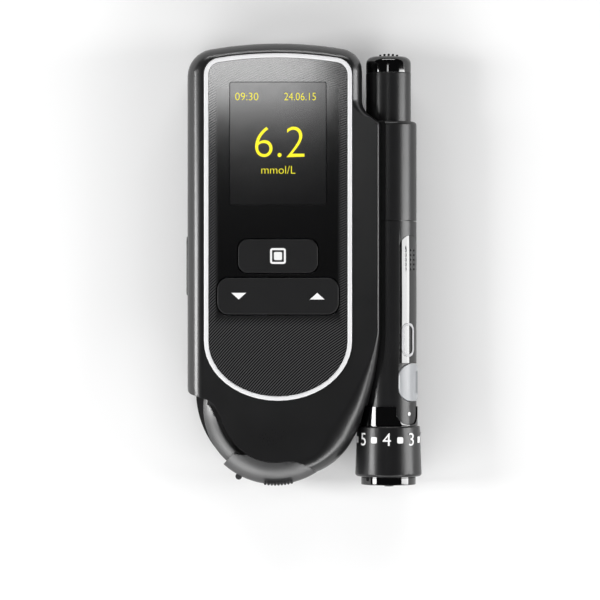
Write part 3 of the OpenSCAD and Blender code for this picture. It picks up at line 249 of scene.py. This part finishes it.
@dataclass(frozen=True)
class Moulded:
    """Moulded plastic: a fine spark-eroded grain, faint mottling and a sheen that varies a little."""

    name: str
    color: Color
    roughness: float = 0.36
    grain_mm: float = 0.004
    grain_per_mm: float = 5.0
    mottle: float = 0.12
    specular: float = 0.5
    coat: float = 0.0

    def make(self) -> bpy.types.Material:
        """Builds the material."""
        sheet = Sheet(self.name)
        cloud = sheet.noise(0.12, 3.0)
        fine = sheet.noise(self.grain_per_mm, 2.0)
        dark, light = shades(self.color, 1 - self.mottle), shades(self.color, 1 + self.mottle)
        sheet.set(Base_Color=sheet.blend(cloud, dark, light),
                  Roughness=self.roughness + (cloud - 0.5) * 0.08 + (fine - 0.5) * 0.06,
                  Specular_IOR_Level=self.specular, Coat_Weight=self.coat, Coat_Roughness=0.12)
        sheet.bump(fine, self.grain_mm)
        return sheet.material


@dataclass(frozen=True)
class Gloss:
    """Polished plastic: a clear hard surface with faint wiping marks."""

    name: str
    color: Color
    roughness: float = 0.06
    specular: float = 0.9

    def make(self) -> bpy.types.Material:
        """Builds the material."""
        sheet = Sheet(self.name)
        wipe = sheet.noise(0.5, 4.0, (1.0, 0.25, 1.0))
        sheet.set(Base_Color=sheet.blend(wipe, shades(self.color, 0.85), shades(self.color, 1.15)),
                  Roughness=self.roughness + wipe.step(0.45, 0.8) * 0.04,
                  Specular_IOR_Level=self.specular)
        sheet.bump(sheet.noise(0.15, 1.0), 0.002)
        return sheet.material


@dataclass(frozen=True)
class Metal:
    """Metal with drawn lines along one direction."""

    name: str
    color: Color
    roughness: float = 0.28
    stretch: Point = (1.0, 1.0, 0.06)
    depth_mm: float = 0.003

    def make(self) -> bpy.types.Material:
        """Builds the material."""
        sheet = Sheet(self.name)
        lines = sheet.noise(6.0, 3.0, self.stretch)
        cloud = sheet.noise(0.3, 2.0)
        sheet.set(Base_Color=sheet.blend(cloud, shades(self.color, 0.88), shades(self.color, 1.08)),
                  Metallic=1.0, Roughness=self.roughness + (lines - 0.5) * 0.12)
        sheet.bump(lines, self.depth_mm)
        return sheet.material


@dataclass(frozen=True)
class PanelPrint:
    """Glossy black panel with a fine print of fanned stripes at its sides and lower end."""

    name: str
    mid_x: float
    top_y: float
    half_w: float
    pitch: float = 0.6
    fan_x: float = 70.0
    fan_y: float = -100.0
    side_band: float = 2.9
    side_fade: float = 1.6
    low_start: float = -12.0
    low_end: float = -17.5
    top_start: float = 12.0
    top_end: float = 6.0
    top_share: float = 0.6
    bare: Color = (0.003, 0.003, 0.0032)
    stripe: Color = (0.06, 0.06, 0.062)

    def make(self) -> bpy.types.Material:
        """Builds the material."""
        sheet = Sheet(self.name)
        x, y = sheet.axis(0, self.mid_x), sheet.axis(1)
        reach = ((x - self.fan_x) ** 2.0 + (y - self.fan_y) ** 2.0) ** 0.5
        phase = reach * (2 * math.pi / self.pitch)
        stripes = phase.math("SINE", phase).step(-0.5, 0.7)
        side_edge = self.half_w - self.side_band
        sides = abs(x).step(side_edge, side_edge + self.side_fade)
        lower = y.step(self.low_start, self.low_end)
        top = y.step(self.top_y - self.top_start, self.top_y - self.top_end) * self.top_share
        inked = stripes * sides.larger(lower).larger(top)
        sheet.set(Base_Color=sheet.blend(inked, self.bare, self.stripe),
                  Roughness=sheet.noise(0.4, 3.0) * 0.03 + 0.075, Specular_IOR_Level=1.0)
        sheet.bump(inked, 0.001)
        return sheet.material


@dataclass(frozen=True)
class WindowGlass:
    """Dark window over the display, a shade lighter at its upper left, where a reflection is painted into its
    colour.
    """

    name: str

    def make(self) -> bpy.types.Material:
        """Builds the material."""
        sheet = Sheet(self.name)
        # painted reflection: the base colour grows a shade lighter across the window, standing in for glare
        depth = (sheet.axis(0) + sheet.axis(1)).step(-20.0, 60.0)
        sheet.set(Base_Color=sheet.blend(depth, (0.003, 0.003, 0.0032), (0.004, 0.004, 0.0044)),
                  Roughness=sheet.noise(0.3, 2.0) * 0.03 + 0.1, Specular_IOR_Level=1.0)
        sheet.bump(sheet.noise(0.08, 1.0), 0.001)
        return sheet.material


@dataclass(frozen=True)
class Glow:
    """Lit display marks."""

    name: str
    color: Color
    strength: float = 0.9

    def make(self) -> bpy.types.Material:
        """Builds the material."""
        sheet = Sheet(self.name)
        pixels = sheet.noise(3.0, 1.0) * 0.12 + 0.94
        sheet.set(Base_Color=shades(self.color, 0.25), Roughness=0.3,
                  Emission_Color=sheet.blend(pixels, (0.0, 0.0, 0.0), self.color),
                  Emission_Strength=self.strength)
        return sheet.material


@dataclass(frozen=True)
class Board:
    """Green circuit board with copper tracks under the mask."""

    name: str

    def make(self) -> bpy.types.Material:
        """Builds the material."""
        sheet = Sheet(self.name)
        cells = sheet.node("ShaderNodeTexBrick", {"offset": 0.3},
                           {"Vector": sheet.place(), "Scale": 260.0, "Mortar Size": 0.03, "Color1": (0, 0, 0),
                            "Color2": (0, 0, 0), "Mortar": (1, 1, 1)}, "Fac")
        sheet.set(Base_Color=sheet.blend(cells, (0.01, 0.10, 0.035), (0.03, 0.2, 0.07)),
                  Roughness=sheet.noise(1.0) * 0.1 + 0.25, Coat_Weight=0.4)
        sheet.bump(cells, 0.03)
        return sheet.material


@dataclass(frozen=True)
class CellWrap:
    """Foil of a battery cell: a copper coloured band at the plus end and a dark sleeve."""

    name: str
    low_y: float
    high_y: float

    def make(self) -> bpy.types.Material:
        """Builds the material."""
        sheet = Sheet(self.name)
        along = sheet.axis(1, self.low_y) / (self.high_y - self.low_y)
        band = along.step(0.70, 0.705)
        end = along.step(0.972, 0.974)
        sleeve = sheet.blend(band, (0.02, 0.022, 0.025), (0.62, 0.33, 0.13))
        sheet.set(Base_Color=sheet.blend(end, sleeve, (0.65, 0.65, 0.67)), Metallic=0.8,
                  Roughness=sheet.noise(1.5) * 0.1 + 0.25, Coat_Weight=0.5)
        sheet.bump(sheet.noise(2.0, 2.0), 0.01)
        return sheet.material


class Stock(Enum):
    """The finishes that several pieces share."""

    SHELL = Moulded("shell_satin", (0.006, 0.006, 0.0064), 0.3, specular=0.8)
    REAR = Moulded("rear_grained", (0.012, 0.012, 0.0125), 0.46, 0.012, 3.0)
    SATIN = Moulded("track_satin", (0.03, 0.03, 0.031), 0.36, 0.003, specular=1.0)
    KEY = Moulded("key_satin", (0.009, 0.009, 0.0095), 0.42, 0.004, 4.0, specular=0.35)
    PEN = Moulded("pen_satin", (0.010, 0.010, 0.0105), 0.30, 0.003, specular=0.42)
    DIAL = Moulded("dial_satin", (0.008, 0.008, 0.0085), 0.32, 0.004, 4.0, specular=0.42)
    PIANO = Gloss("piano_black", (0.002, 0.002, 0.0022), 0.05, 0.75)
    MARK = Moulded("mark_white", (0.86, 0.86, 0.86), 0.4, 0.001)
    RING = Moulded("ring_silver", (0.76, 0.76, 0.77), 0.3, 0.001, 4.0, 0.04)
    LEVER = Moulded("lever_milky", (0.36, 0.37, 0.385), 0.3, 0.001, 2.0, 0.05, 0.4)
    PAD = Moulded("pad_pale", (0.52, 0.52, 0.53), 0.42, 0.001, 4.0, 0.04, 0.25)
    FRAME = Moulded("frame_grey", (0.16, 0.165, 0.17), 0.5)
    RUBBER = Moulded("pad_rubber", (0.06, 0.06, 0.07), 0.65, 0.01)
    CHIP = Moulded("chip_black", (0.02, 0.02, 0.021), 0.5, 0.004)
    WHITE = Moulded("gear_white", (0.72, 0.72, 0.69), 0.38, 0.002)
    CASE = Moulded("cassette_blue", (0.34, 0.4, 0.46), 0.25, 0.002, 4.0, 0.06, 0.5, 0.4)
    TAPE = Moulded("tape_white", (0.78, 0.78, 0.73), 0.55, 0.004)
    LANCET = Moulded("lancet_blue", (0.2, 0.36, 0.66), 0.3, 0.002)
    STEEL = Metal("steel_bright", (0.62, 0.62, 0.64))
    BRASS = Metal("gear_brass", (0.72, 0.55, 0.25), 0.3)


class Finishes:
    """Builds each finish once and puts it on pieces and CAD nodes."""

    def __init__(self) -> None:
        """Starts with no finish made."""
        self.made: dict[str, bpy.types.Material] = {}

    def get(self, finish: object) -> bpy.types.Material:
        """Material of a finish, made at its first use.

        Args:
            finish: A Stock entry or a finish with a name and a make method.

        Returns:
            The material.
        """
        recipe = finish.value if isinstance(finish, Stock) else finish
        if recipe.name not in self.made:
            self.made[recipe.name] = recipe.make()
        return self.made[recipe.name]

    def dress(self, piece: bpy.types.Object, finish: object) -> None:
        """Gives a piece one material all over."""
        piece.data.materials.clear()
        piece.data.materials.append(self.get(finish))

    def dress_node(self, name: str, finish: object) -> None:
        """Gives a CAD node's slots one material."""
        node = frame["nodes"][name]
        if not node.data.materials:
            node.data.materials.append(self.get(finish))
        for index in range(len(node.data.materials)):
            node.data.materials[index] = self.get(finish)


# ---------- modelling bench ----------
class Bench:
    """Models pieces with Blender's own operators."""

    JOIN_DISTANCE = 2e-6  # metres between vertices that are one
    FLAT_DEGREES = 0.4  # faces closer than this to one plane are joined
    FACE_WEIGHT = 80
    CAPITAL_SHARE = 0.7  # height of a figure as a share of the font's size

    @staticmethod
    def clear() -> None:
        """Deselects everything in object mode."""
        if bpy.context.object and bpy.context.object.mode != "OBJECT":
            bpy.ops.object.mode_set(mode="OBJECT")
        bpy.ops.object.select_all(action="DESELECT")

    @classmethod
    def take(cls, piece: bpy.types.Object) -> None:
        """Makes one piece the only selected and active one."""
        cls.clear()
        piece.select_set(True)
        bpy.context.view_layer.objects.active = piece

    @classmethod
    @contextmanager
    def editing(cls, piece: bpy.types.Object) -> Iterator[None]:
        """Opens a piece in edit mode with all of it selected.

        Args:
            piece: The piece to edit.

        Yields:
            Nothing; the piece is in edit mode meanwhile.
        """
        cls.take(piece)
        bpy.ops.object.mode_set(mode="EDIT")
        bpy.ops.mesh.select_mode(type="FACE")
        bpy.ops.mesh.select_all(action="SELECT")
        yield
        bpy.ops.object.mode_set(mode="OBJECT")

    @classmethod
    def settle(cls, piece: bpy.types.Object, name: str) -> bpy.types.Object:
        """Names a piece and puts its place into its mesh."""
        cls.take(piece)
        bpy.ops.object.transform_apply(location=True, rotation=True, scale=True)
        piece.name = name
        piece.data.name = name
        return piece

    @classmethod
    def modify(cls, piece: bpy.types.Object, kind: str, **settings: object) -> None:
        """Adds one modifier and applies it.

        Args:
            piece: The piece.
            kind: Blender's type name of the modifier.
            settings: The modifier's properties.
        """
        cls.take(piece)
        modifier = piece.modifiers.new(kind.lower(), kind)
        for key, value in settings.items():
            setattr(modifier, key, value)
        bpy.ops.object.modifier_apply(modifier=modifier.name)

    @classmethod
    def soften(cls, piece: bpy.types.Object, width_mm: float, segments: int, angle: float) -> None:
        """Rounds the sharp edges and evens the shading of the flats.

        Args:
            piece: The piece.
            width_mm: Width of the rounding.
            segments: Steps across it.
            angle: Edges sharper than this many degrees are rounded.
        """
        if width_mm > 0:
            cls.modify(piece, "BEVEL", width=width_mm * MM, segments=segments, limit_method="ANGLE",
                       angle_limit=math.radians(angle), use_clamp_overlap=True, miter_outer="MITER_ARC")
        cls.take(piece)
        bpy.ops.object.shade_smooth_by_angle(angle=math.radians(angle))
        cls.modify(piece, "WEIGHTED_NORMAL", keep_sharp=True, weight=cls.FACE_WEIGHT)

    @classmethod
    def from_node(cls, node: str, name: str, width_mm: float, segments: int,
                  angle: float) -> bpy.types.Object:
        """A finer copy of a CAD node's mesh, joined up, cleaned and rounded.

        Args:
            node: The CAD node.
            name: Name of the new piece.
            width_mm: Width of the rounding on its sharp edges.
            segments: Steps across the rounding.
            angle: Edges sharper than this many degrees are rounded.

        Returns:
            The new piece, which stands for the node and rides on its body.
        """
        mesh = frame["nodes"][node].data.copy()
        piece = bpy.data.objects.new(name, mesh)
        bpy.context.collection.objects.link(piece)
        mesh.name = name
        cls.take(piece)
        if mesh.has_custom_normals:
            bpy.ops.mesh.customdata_custom_splitnormals_clear()
        with cls.editing(piece):
            bpy.ops.mesh.remove_doubles(threshold=cls.JOIN_DISTANCE)
            bpy.ops.mesh.dissolve_limited(angle_limit=math.radians(cls.FLAT_DEGREES))
        cls.soften(piece, width_mm, segments, angle)
        cls.stand_for(piece, node)
        return piece

    @staticmethod
    def stand_for(piece: bpy.types.Object, node: str) -> None:
        """Makes a piece replace a node and ride on its body."""
        body = next(b for b, members in frame["record"]["behaviour"]["bodies"].items() if node in members)
        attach(piece, body)
        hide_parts(node)
        log.info("piece %s stands for %s on %s", piece.name, node, body)

    @classmethod
    def lettering(cls, text: str, name: str, height_mm: float, at: Vector, depth_mm: float = 0.06,
                  stretch: float = 1.0, thin: float = 0.0) -> bpy.types.Object:
        """Plain figures as a thin mesh, centred on a point.

        Args:
            text: The figures.
            name: Name of the piece.
            height_mm: Height of a figure.
            at: Centre of the line, on the surface.
            depth_mm: Thickness of the print.
            stretch: Width factor.
            thin: Share of the height that comes off each side of a stroke.

        Returns:
            The mesh piece.
        """
        cls.clear()
        bpy.ops.object.text_add(location=(0, 0, 0))
        line = bpy.context.object
        line.data.body = text
        line.data.align_x = "CENTER"
        line.data.align_y = "CENTER"
        line.data.size = height_mm * MM / cls.CAPITAL_SHARE
        line.data.extrude = depth_mm * MM / 2
        line.data.resolution_u = 6
        line.data.offset = -thin * height_mm * MM
        cls.take(line)
        bpy.ops.object.convert(target="MESH")
        line = bpy.context.object
        line.scale = (stretch, 1.0, 1.0)
        line.location = at + Vector((0, 0, depth_mm * MM / 2))
        return cls.settle(line, name)


# ---------- sub-assemblies ----------
@dataclass(frozen=True)
class Refined:
    """How one CAD node is turned into its finished piece."""

    node: str
    name: str
    finish: object
    round_mm: float
    segments: int
    angle: float = 40.0


@dataclass
class SubAssembly:
    """A group of pieces that are built and dressed together."""

    finishes: Finishes

    def refine(self, plans: Sequence[Refined]) -> dict[str, bpy.types.Object]:
        """Makes the finished pieces of several CAD nodes.

        Args:
            plans: One plan for each node.

        Returns:
            The pieces by their node's name.
        """
        pieces = {}
        for plan in plans:
            piece = Bench.from_node(plan.node, plan.name, plan.round_mm, plan.segments, plan.angle)
            self.finishes.dress(piece, plan.finish)
            pieces[plan.node] = piece
        return pieces

    def add(self, piece: bpy.types.Object, body: str, slot: str, finish: object) -> bpy.types.Object:
        """Dresses a new piece, lets it ride on a body and reports it.

        Args:
            piece: The piece.
            body: The body that carries it.
            slot: The record's material slot; not used.
            finish: The finish.

        Returns:
            The piece.
        """
        self.finishes.dress(piece, finish)
        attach(piece, body)
        log.info("piece %s on %s", piece.name, body)
        return piece


@dataclass
class MeterShell(SubAssembly):
    """The meter's housing halves, nose track, release button and silver trim."""

    def build(self) -> None:
        """Builds the outer housing pieces."""
        self.refine([
            Refined("front_housing", "front_shell", Stock.SHELL, 0.3, 3),
            Refined("rear_housing", "rear_shell", Stock.REAR, 0.1, 2),
            Refined("nose_track", "nose_strip", Stock.SATIN, 0.15, 2),
            Refined("release_button", "side_release", Stock.SHELL, 0.3, 3),
            Refined("trim_ring", "silver_ring", Stock.RING, 0.42, 5),
        ])


@dataclass(frozen=True)
class DisplayLine:
    """One line of lit figures: its place and height in millimetres and its width factor."""

    name: str
    text: str
    x: float
    y: float
    height: float
    stretch: float


DISPLAY_LINES = (
    DisplayLine("figures_time", "09:30", -15.6, 45.5, 2.1, 0.98),
    DisplayLine("figures_date", "24.06.15", -1.1, 45.5, 2.1, 0.86),
    DisplayLine("figures_reading", "6.2", -6.7, 32.8, 8.6, 0.98),
    DisplayLine("figures_unit", "mmol/L", -7.1, 25.6, 2.2, 0.98),
)


@dataclass
class FrontPanel(SubAssembly):
    """The glossy panel, its display window and the two keys with their signs."""

    sign_depth: float = 0.05
    icon_size: float = 4.3
    icon_line: float = 0.55
    icon_core: float = 2.2
    icon_corner: float = 0.16
    arrow_width: float = 4.0
    arrow_height: float = 1.8
    arrow_reach: float = 10.65
    arrow_blank: float = 0.5
    figure_proud: float = 0.04
    figure_thin: float = 0.02

    def build(self) -> None:
        """Builds the panel, window, keys, signs and display figures."""
        low, high = node_box("front_panel")
        mid = middle("front_panel")
        print_finish = PanelPrint("panel_print", mid.x / MM, high.y / MM, (high.x - low.x) / 2 / MM)
        self.refine([
            Refined("front_panel", "gloss_panel", print_finish, 0.1, 2),
            Refined("display_window", "window_pane", WindowGlass("window_pane_dark"), 0.1, 2),
            Refined("menu_button", "menu_key", Stock.KEY, 0.45, 4),
            Refined("rocker_button", "rocker_key", Stock.KEY, 0.45, 4),
        ])
        self.key_signs()
        self.display_figures()

    def key_signs(self) -> None:
        """Printed square on the upper key and two arrows on the rocker key."""
        menu, rocker = middle("menu_button"), middle("rocker_button")
        top = node_box("menu_button")[1].z
        centre = Vector((menu.x, menu.y, top))
        for name, size_mm, line_mm in (("menu_sign", self.icon_size, self.icon_line),
                                       ("menu_sign_core", self.icon_core, 0.0)):
            self.add(self.square_outline(name, centre, size_mm, line_mm), "menu_key", "dot_white", Stock.MARK)
        for name, side, turn in (("down_sign", -1, math.pi), ("up_sign", 1, 0.0)):
            at = Vector((rocker.x + side * self.arrow_reach * MM, rocker.y, top))
            self.add(self.arrow(name, at, turn), "rocker_key", "dot_white", Stock.MARK)

    def square_outline(self, name: str, at: Vector, size_mm: float, line_mm: float) -> bpy.types.Object:
        """Rounded square of print, as an outline or filled.

        Args:
            name: Name of the piece.
            at: Its centre on the key's face.
            size_mm: Outer width.
            line_mm: Width of the line, or 0 for a filled square.

        Returns:
            The printed mark.
        """
        Bench.clear()
        bpy.ops.mesh.primitive_plane_add(size=size_mm * MM, location=at)
        mark = bpy.context.object
        with Bench.editing(mark):
            bpy.ops.mesh.bevel(offset=size_mm * self.icon_corner * MM, segments=5, affect="VERTICES")
            bpy.ops.mesh.select_all(action="SELECT")
            if line_mm:
                bpy.ops.mesh.inset(thickness=line_mm * MM)
                bpy.ops.mesh.delete(type="FACE")
        Bench.modify(mark, "SOLIDIFY", thickness=self.sign_depth * MM, offset=0.6)
        return Bench.settle(mark, name)

    def arrow(self, name: str, at: Vector, turn: float) -> bpy.types.Object:
        """Flat triangle of print that points up, or down when turned.

        Args:
            name: Name of the piece.
            at: Its centre on the key's face.
            turn: Rotation about Z in radians.

        Returns:
            The printed mark.
        """
        Bench.clear()
        bpy.ops.mesh.primitive_cylinder_add(vertices=3, radius=self.arrow_blank * MM,
                                            depth=self.sign_depth * MM, location=at)
        mark = bpy.context.object
        mark.scale = (self.arrow_width / (math.sqrt(3) * self.arrow_blank),
                      self.arrow_height / (1.5 * self.arrow_blank), 1.0)
        shift = (-1 if turn == 0 else 1) * self.arrow_height / 6
        mark.location = at + Vector((0, shift * MM, self.sign_depth * 0.3 * MM))
        mark.rotation_euler = (0, 0, turn)
        return Bench.settle(mark, name)

    def display_figures(self) -> None:
        """Time, date, reading and unit as lit figures on the window."""
        top = node_box("display_window")[1].z
        glow = Glow("display_yellow", (0.96, 0.86, 0.02))
        for line in DISPLAY_LINES:
            at = Vector((line.x * MM, line.y * MM, top))
            figures = Bench.lettering(line.text, line.name, line.height, at, self.figure_proud, line.stretch,
                                      self.figure_thin)
            self.add(figures, "meter", "dot_white", glow)


@dataclass
class TipGuard(SubAssembly):
    """The turning cover over the tape tip."""

    def build(self) -> None:
        """Builds the cover."""
        self.refine([Refined("tip_cover", "tip_guard_cover", Stock.SATIN, 0.12, 2)])


@dataclass
class BackCovers(SubAssembly):
    """The cassette cover and the battery cover."""

    def build(self) -> None:
        """Builds the covers of the back."""
        self.refine([
            Refined("cassette_cover", "cassette_lid_outer", Stock.REAR, 0.2, 2),
            Refined("battery_cover", "battery_lid_outer", Stock.REAR, 0.2, 2),
        ])


@dataclass
class Inside(SubAssembly):
    """Everything behind the panel: board, drive, tape cassette and battery bay."""

    def build(self) -> None:
        """Dresses the inner parts."""
        low, high = node_box("batteries")
        plans = {
            "inner_frame": Stock.FRAME, "display_module": Stock.FRAME, "optics_module": Stock.CHIP,
            "battery_tray": Stock.FRAME, "keypad_membrane": Stock.RUBBER,
            "main_board": Board("board_green"), "board_chips": Stock.CHIP, "buzzer": Stock.CHIP,
            "drive_motor": Stock.STEEL, "pinion": Stock.BRASS, "drive_gear": Stock.WHITE,
            "cassette_case": Stock.CASE, "cassette_lid": Stock.CASE, "take_up_reel": Stock.WHITE,
            "supply_reel": Stock.WHITE, "test_tape": Stock.TAPE,
            "batteries": CellWrap("cell_wrap_foil", low.y / MM, high.y / MM),
            "battery_springs": Stock.STEEL, "battery_contacts": Stock.BRASS,
            "cover_hinge_pin": Stock.STEEL, "housing_screws": Stock.STEEL, "release_spring": Stock.STEEL,
            "pen_rail": Stock.PEN, "hammer": Stock.STEEL, "drive_spring": Stock.STEEL,
            "return_spring": Stock.STEEL, "lancet_drum": Stock.WHITE, "lancets": Stock.LANCET,
        }
        for name, finish in plans.items():
            self.finishes.dress_node(name, finish)
            log.info("node %s dressed", name)


@dataclass
class Pen(SubAssembly):
    """The docked lancing pen: barrels, inlay, lever, plunger, dial and cap."""

    digit_height: float = 3.5
    digit_y: float = -47.8
    digit_pitch: float = 48.0
    digit_start: float = -4.0
    digits: int = 5
    square_size: float = 1.75
    square_corner: float = 0.22
    mark_thick: float = 0.12
    dial_top_r: float = 8.6
    dial_low_r: float = 9.1

    def build(self) -> None:
        """Builds the pen's pieces."""
        self.refine([
            Refined("pen_upper_barrel", "upper_barrel", Stock.PEN, 0.25, 3),
            Refined("pen_lower_barrel", "lower_barrel", Stock.PEN, 0.15, 3),
            Refined("side_inlay", "gloss_inlay", Stock.PIANO, 0.15, 3),
            Refined("symbol_pad", "oval_pad", Stock.PAD, 0.12, 3),
            Refined("index_dot", "white_dot", Stock.MARK, 0.04, 2),
            Refined("pen_lever", "swing_lever", Stock.LEVER, 0.4, 4),
            Refined("plunger", "plunger_tube", Stock.PEN, 0.15, 3),
            Refined("plunger_cap", "plunger_crown", Stock.PIANO, 0.25, 3),
            Refined("cap_sleeve", "cap_collar", Stock.PIANO, 0.25, 3),
            Refined("cap_nose", "cap_tip", Stock.PIANO, 0.3, 3),
            Refined("depth_dial", "depth_ring", Stock.DIAL, 0.2, 3),
        ])
        self.dial_print()

    def dial_print(self) -> None:
        """Figures round the dial with a small square between each pair."""
        low, high = node_box("depth_dial")
        axis = (low + high) / 2
        share = (high.y / MM - self.digit_y) / ((high.y - low.y) / MM)
        radius = (self.dial_top_r + (self.dial_low_r - self.dial_top_r) * share) * MM
        for count in range(self.digits):
            figure = self.digits - count
            turn = math.radians(self.digit_start + self.digit_pitch * (self.digits - 1 - figure))
            at = Vector((0, 0, radius))
            piece = Bench.lettering(str(figure), f"dial_figure_{figure}", self.digit_height, at,
                                    self.mark_thick)
            self.round_dial(piece, axis, turn)
            self.add(piece, "dial_body", "dot_white", Stock.MARK)
        for count in range(self.digits + 1):
            turn = math.radians(self.digit_start - 1.5 * self.digit_pitch + self.digit_pitch * count)
            Bench.clear()
            square_at = (0, 0, radius + self.mark_thick / 2 * MM)
            bpy.ops.mesh.primitive_plane_add(size=self.square_size * MM, location=square_at)
            piece = bpy.context.object
            with Bench.editing(piece):
                bpy.ops.mesh.bevel(offset=self.square_size * self.square_corner * MM, segments=4,
                                   affect="VERTICES")
            Bench.modify(piece, "SOLIDIFY", thickness=self.mark_thick * MM, offset=0.0)
            Bench.settle(piece, f"dial_square_{count}")
            self.round_dial(piece, axis, turn)
            self.add(piece, "dial_body", "dot_white", Stock.MARK)

    def round_dial(self, piece: bpy.types.Object, axis: Vector, turn: float) -> None:
        """Swings a flat mark to its place round the dial.

        Args:
            piece: The mark, above the origin.
            axis: A point on the dial's axis.
            turn: Angle from the front towards the right, in radians.
        """
        Bench.take(piece)
        piece.rotation_euler = (0, turn, 0)
        piece.location = (axis.x, self.digit_y * MM, axis.z)
        Bench.settle(piece, piece.name)


@dataclass(frozen=True)
class Lamp:
    """Flat lamp round the meter.

    Turn is its compass angle, 0 to the right and 90 to the top edge, and tilt its angle from straight above.
    Width and length are the degrees that it covers from high to low and along the horizon.  Radiance is its
    brightness as seen in a mirror.
    """

    name: str
    turn: float
    tilt: float
    width: float
    length: float
    radiance: float


LAMPS = (
    Lamp("left_strip", 180, 61, 18, 14, 22.0),
    Lamp("right_strip", 0, 73, 34, 14, 12.0),
    Lamp("low_right", 315, 60, 12, 42, 8.0),
    Lamp("low_left", 225, 60, 12, 42, 9.0),
    Lamp("low_front", 270, 60, 11, 42, 6.5),
    Lamp("high_back", 90, 60, 7, 50, 12.0),
)


@dataclass
class Studio:
    """Camera, lamps, pale floor and dim room."""

    camera_height: float = 1.0
    camera_reach: float = 20.0
    sensor: float = 36.0
    frame_width: float = 0.16296
    aim_x: float = -0.00115
    aim_y: float = -0.00964
    focus_z: float = 0.0195
    lamp_reach: float = 1.0
    softbox_at: Point = (-0.035, 0.104, 0.7)
    softbox_width: float = 0.09
    softbox_length: float = 0.048
    softbox_radiance: float = 6.8
    floor_radius: float = 2.5
    floor_drop: float = 0.0002
    floor_grey: float = 0.86
    wall_height: float = 0.4
    glow_start_mm: float = 200.0
    glow_end_mm: float = 1200.0
    glow_near: float = 0.05
    glow_gain: float = 0.9
    room_light: float = 0.02

    def build(self) -> None:
        """Builds the studio."""
        self.camera()
        for lamp in LAMPS:
            self.lamp(lamp)
        self.softbox()
        self.floor()
        self.room()

    def camera(self) -> None:
        """Long lens straight above the meter."""
        data = bpy.data.cameras.new("camera")
        data.sensor_width = self.sensor
        data.lens = self.sensor * (self.camera_height - self.focus_z) / self.frame_width
        data.clip_end = self.camera_reach
        camera = bpy.data.objects.new("camera", data)
        camera.location = (self.aim_x, self.aim_y, self.camera_height)
        bpy.context.scene.collection.objects.link(camera)
        bpy.context.scene.camera = camera

    def lamp(self, plan: Lamp) -> None:
        """Places one flat lamp so that it looks at the meter."""
        place = (Matrix.Rotation(math.radians(plan.turn), 4, "Z")
                 @ Matrix.Rotation(math.radians(plan.tilt), 4, "Y")
                 @ Matrix.Translation((0, 0, self.lamp_reach)))
        across = 2 * self.lamp_reach * math.tan(math.radians(plan.width / 2))
        along = 2 * self.lamp_reach * math.tan(math.radians(plan.length / 2))
        self.area(plan.name, place, across, along, plan.radiance)

    def area(self, name: str, place: Matrix, width: float, length: float, radiance: float) -> None:
        """Adds one rectangular lamp."""
        data = bpy.data.lights.new(name, "AREA")
        data.shape = "RECTANGLE"
        data.size, data.size_y = width, length
        data.energy = radiance * math.pi * width * length
        lamp = bpy.data.objects.new(name, data)
        lamp.matrix_world = place
        lamp.visible_camera = False
        bpy.context.scene.collection.objects.link(lamp)

    def softbox(self) -> None:
        """Soft box above the upper left, whose edge fades over the panel."""
        self.area("softbox", Matrix.Translation(self.softbox_at), self.softbox_width, self.softbox_length,
                  self.softbox_radiance)

    def floor(self) -> None:
        """Round pale floor with a low wall, which glows far out for camera, mirror and glass rays only."""
        Bench.clear()
        bpy.ops.mesh.primitive_circle_add(vertices=96, radius=self.floor_radius, fill_type="NGON",
                                          location=(0, 0, -self.floor_drop))
        floor = bpy.context.object
        with Bench.editing(floor):
            bpy.ops.mesh.select_mode(type="EDGE")
            bpy.ops.mesh.select_all(action="SELECT")
            bpy.ops.mesh.extrude_edges_move(TRANSFORM_OT_translate={"value": (0, 0, self.wall_height)})
        Bench.settle(floor, "floor")
        sheet = Sheet("floor_white")
        sheet.set(Base_Color=(self.floor_grey,) * 3, Roughness=0.9, Specular_IOR_Level=0.0)
        seen = sheet.node("ShaderNodeLightPath", {}, {}, "Is Camera Ray")
        for ray in ("Is Glossy Ray", "Is Transmission Ray"):
            seen = seen.larger(sheet.node("ShaderNodeLightPath", {}, {}, ray))
        far = (sheet.axis(0) ** 2.0 + sheet.axis(1) ** 2.0) ** 0.5
        share = far.step(self.glow_start_mm, self.glow_end_mm) * self.glow_gain + self.glow_near
        sheet.set(Emission_Color=sheet.blend(seen * share, (0.0, 0.0, 0.0), (1.0, 1.0, 1.0)),
                  Emission_Strength=1.0)
        floor.data.materials.append(sheet.material)

    def room(self) -> None:
        """Dim room light."""
        world = bpy.data.worlds.new("room")
        bpy.context.scene.world = world
        world.use_nodes = True
        backdrop = world.node_tree.nodes["Background"]
        backdrop.inputs[0].default_value = (1, 1, 1, 1)
        backdrop.inputs[1].default_value = self.room_light


def main() -> None:
    """Builds the meter's looks in order."""
    logging.basicConfig(level=logging.INFO, format="%(name)s: %(message)s")
    bpy.context.scene.view_settings.view_transform = "Standard"
    finishes = Finishes()
    for kind in (Inside, MeterShell, FrontPanel, TipGuard, BackCovers, Pen):
        kind(finishes).build()
        log.info("%s built", kind.__name__)
    Studio().build()


if __name__ == "__main__":
    main()
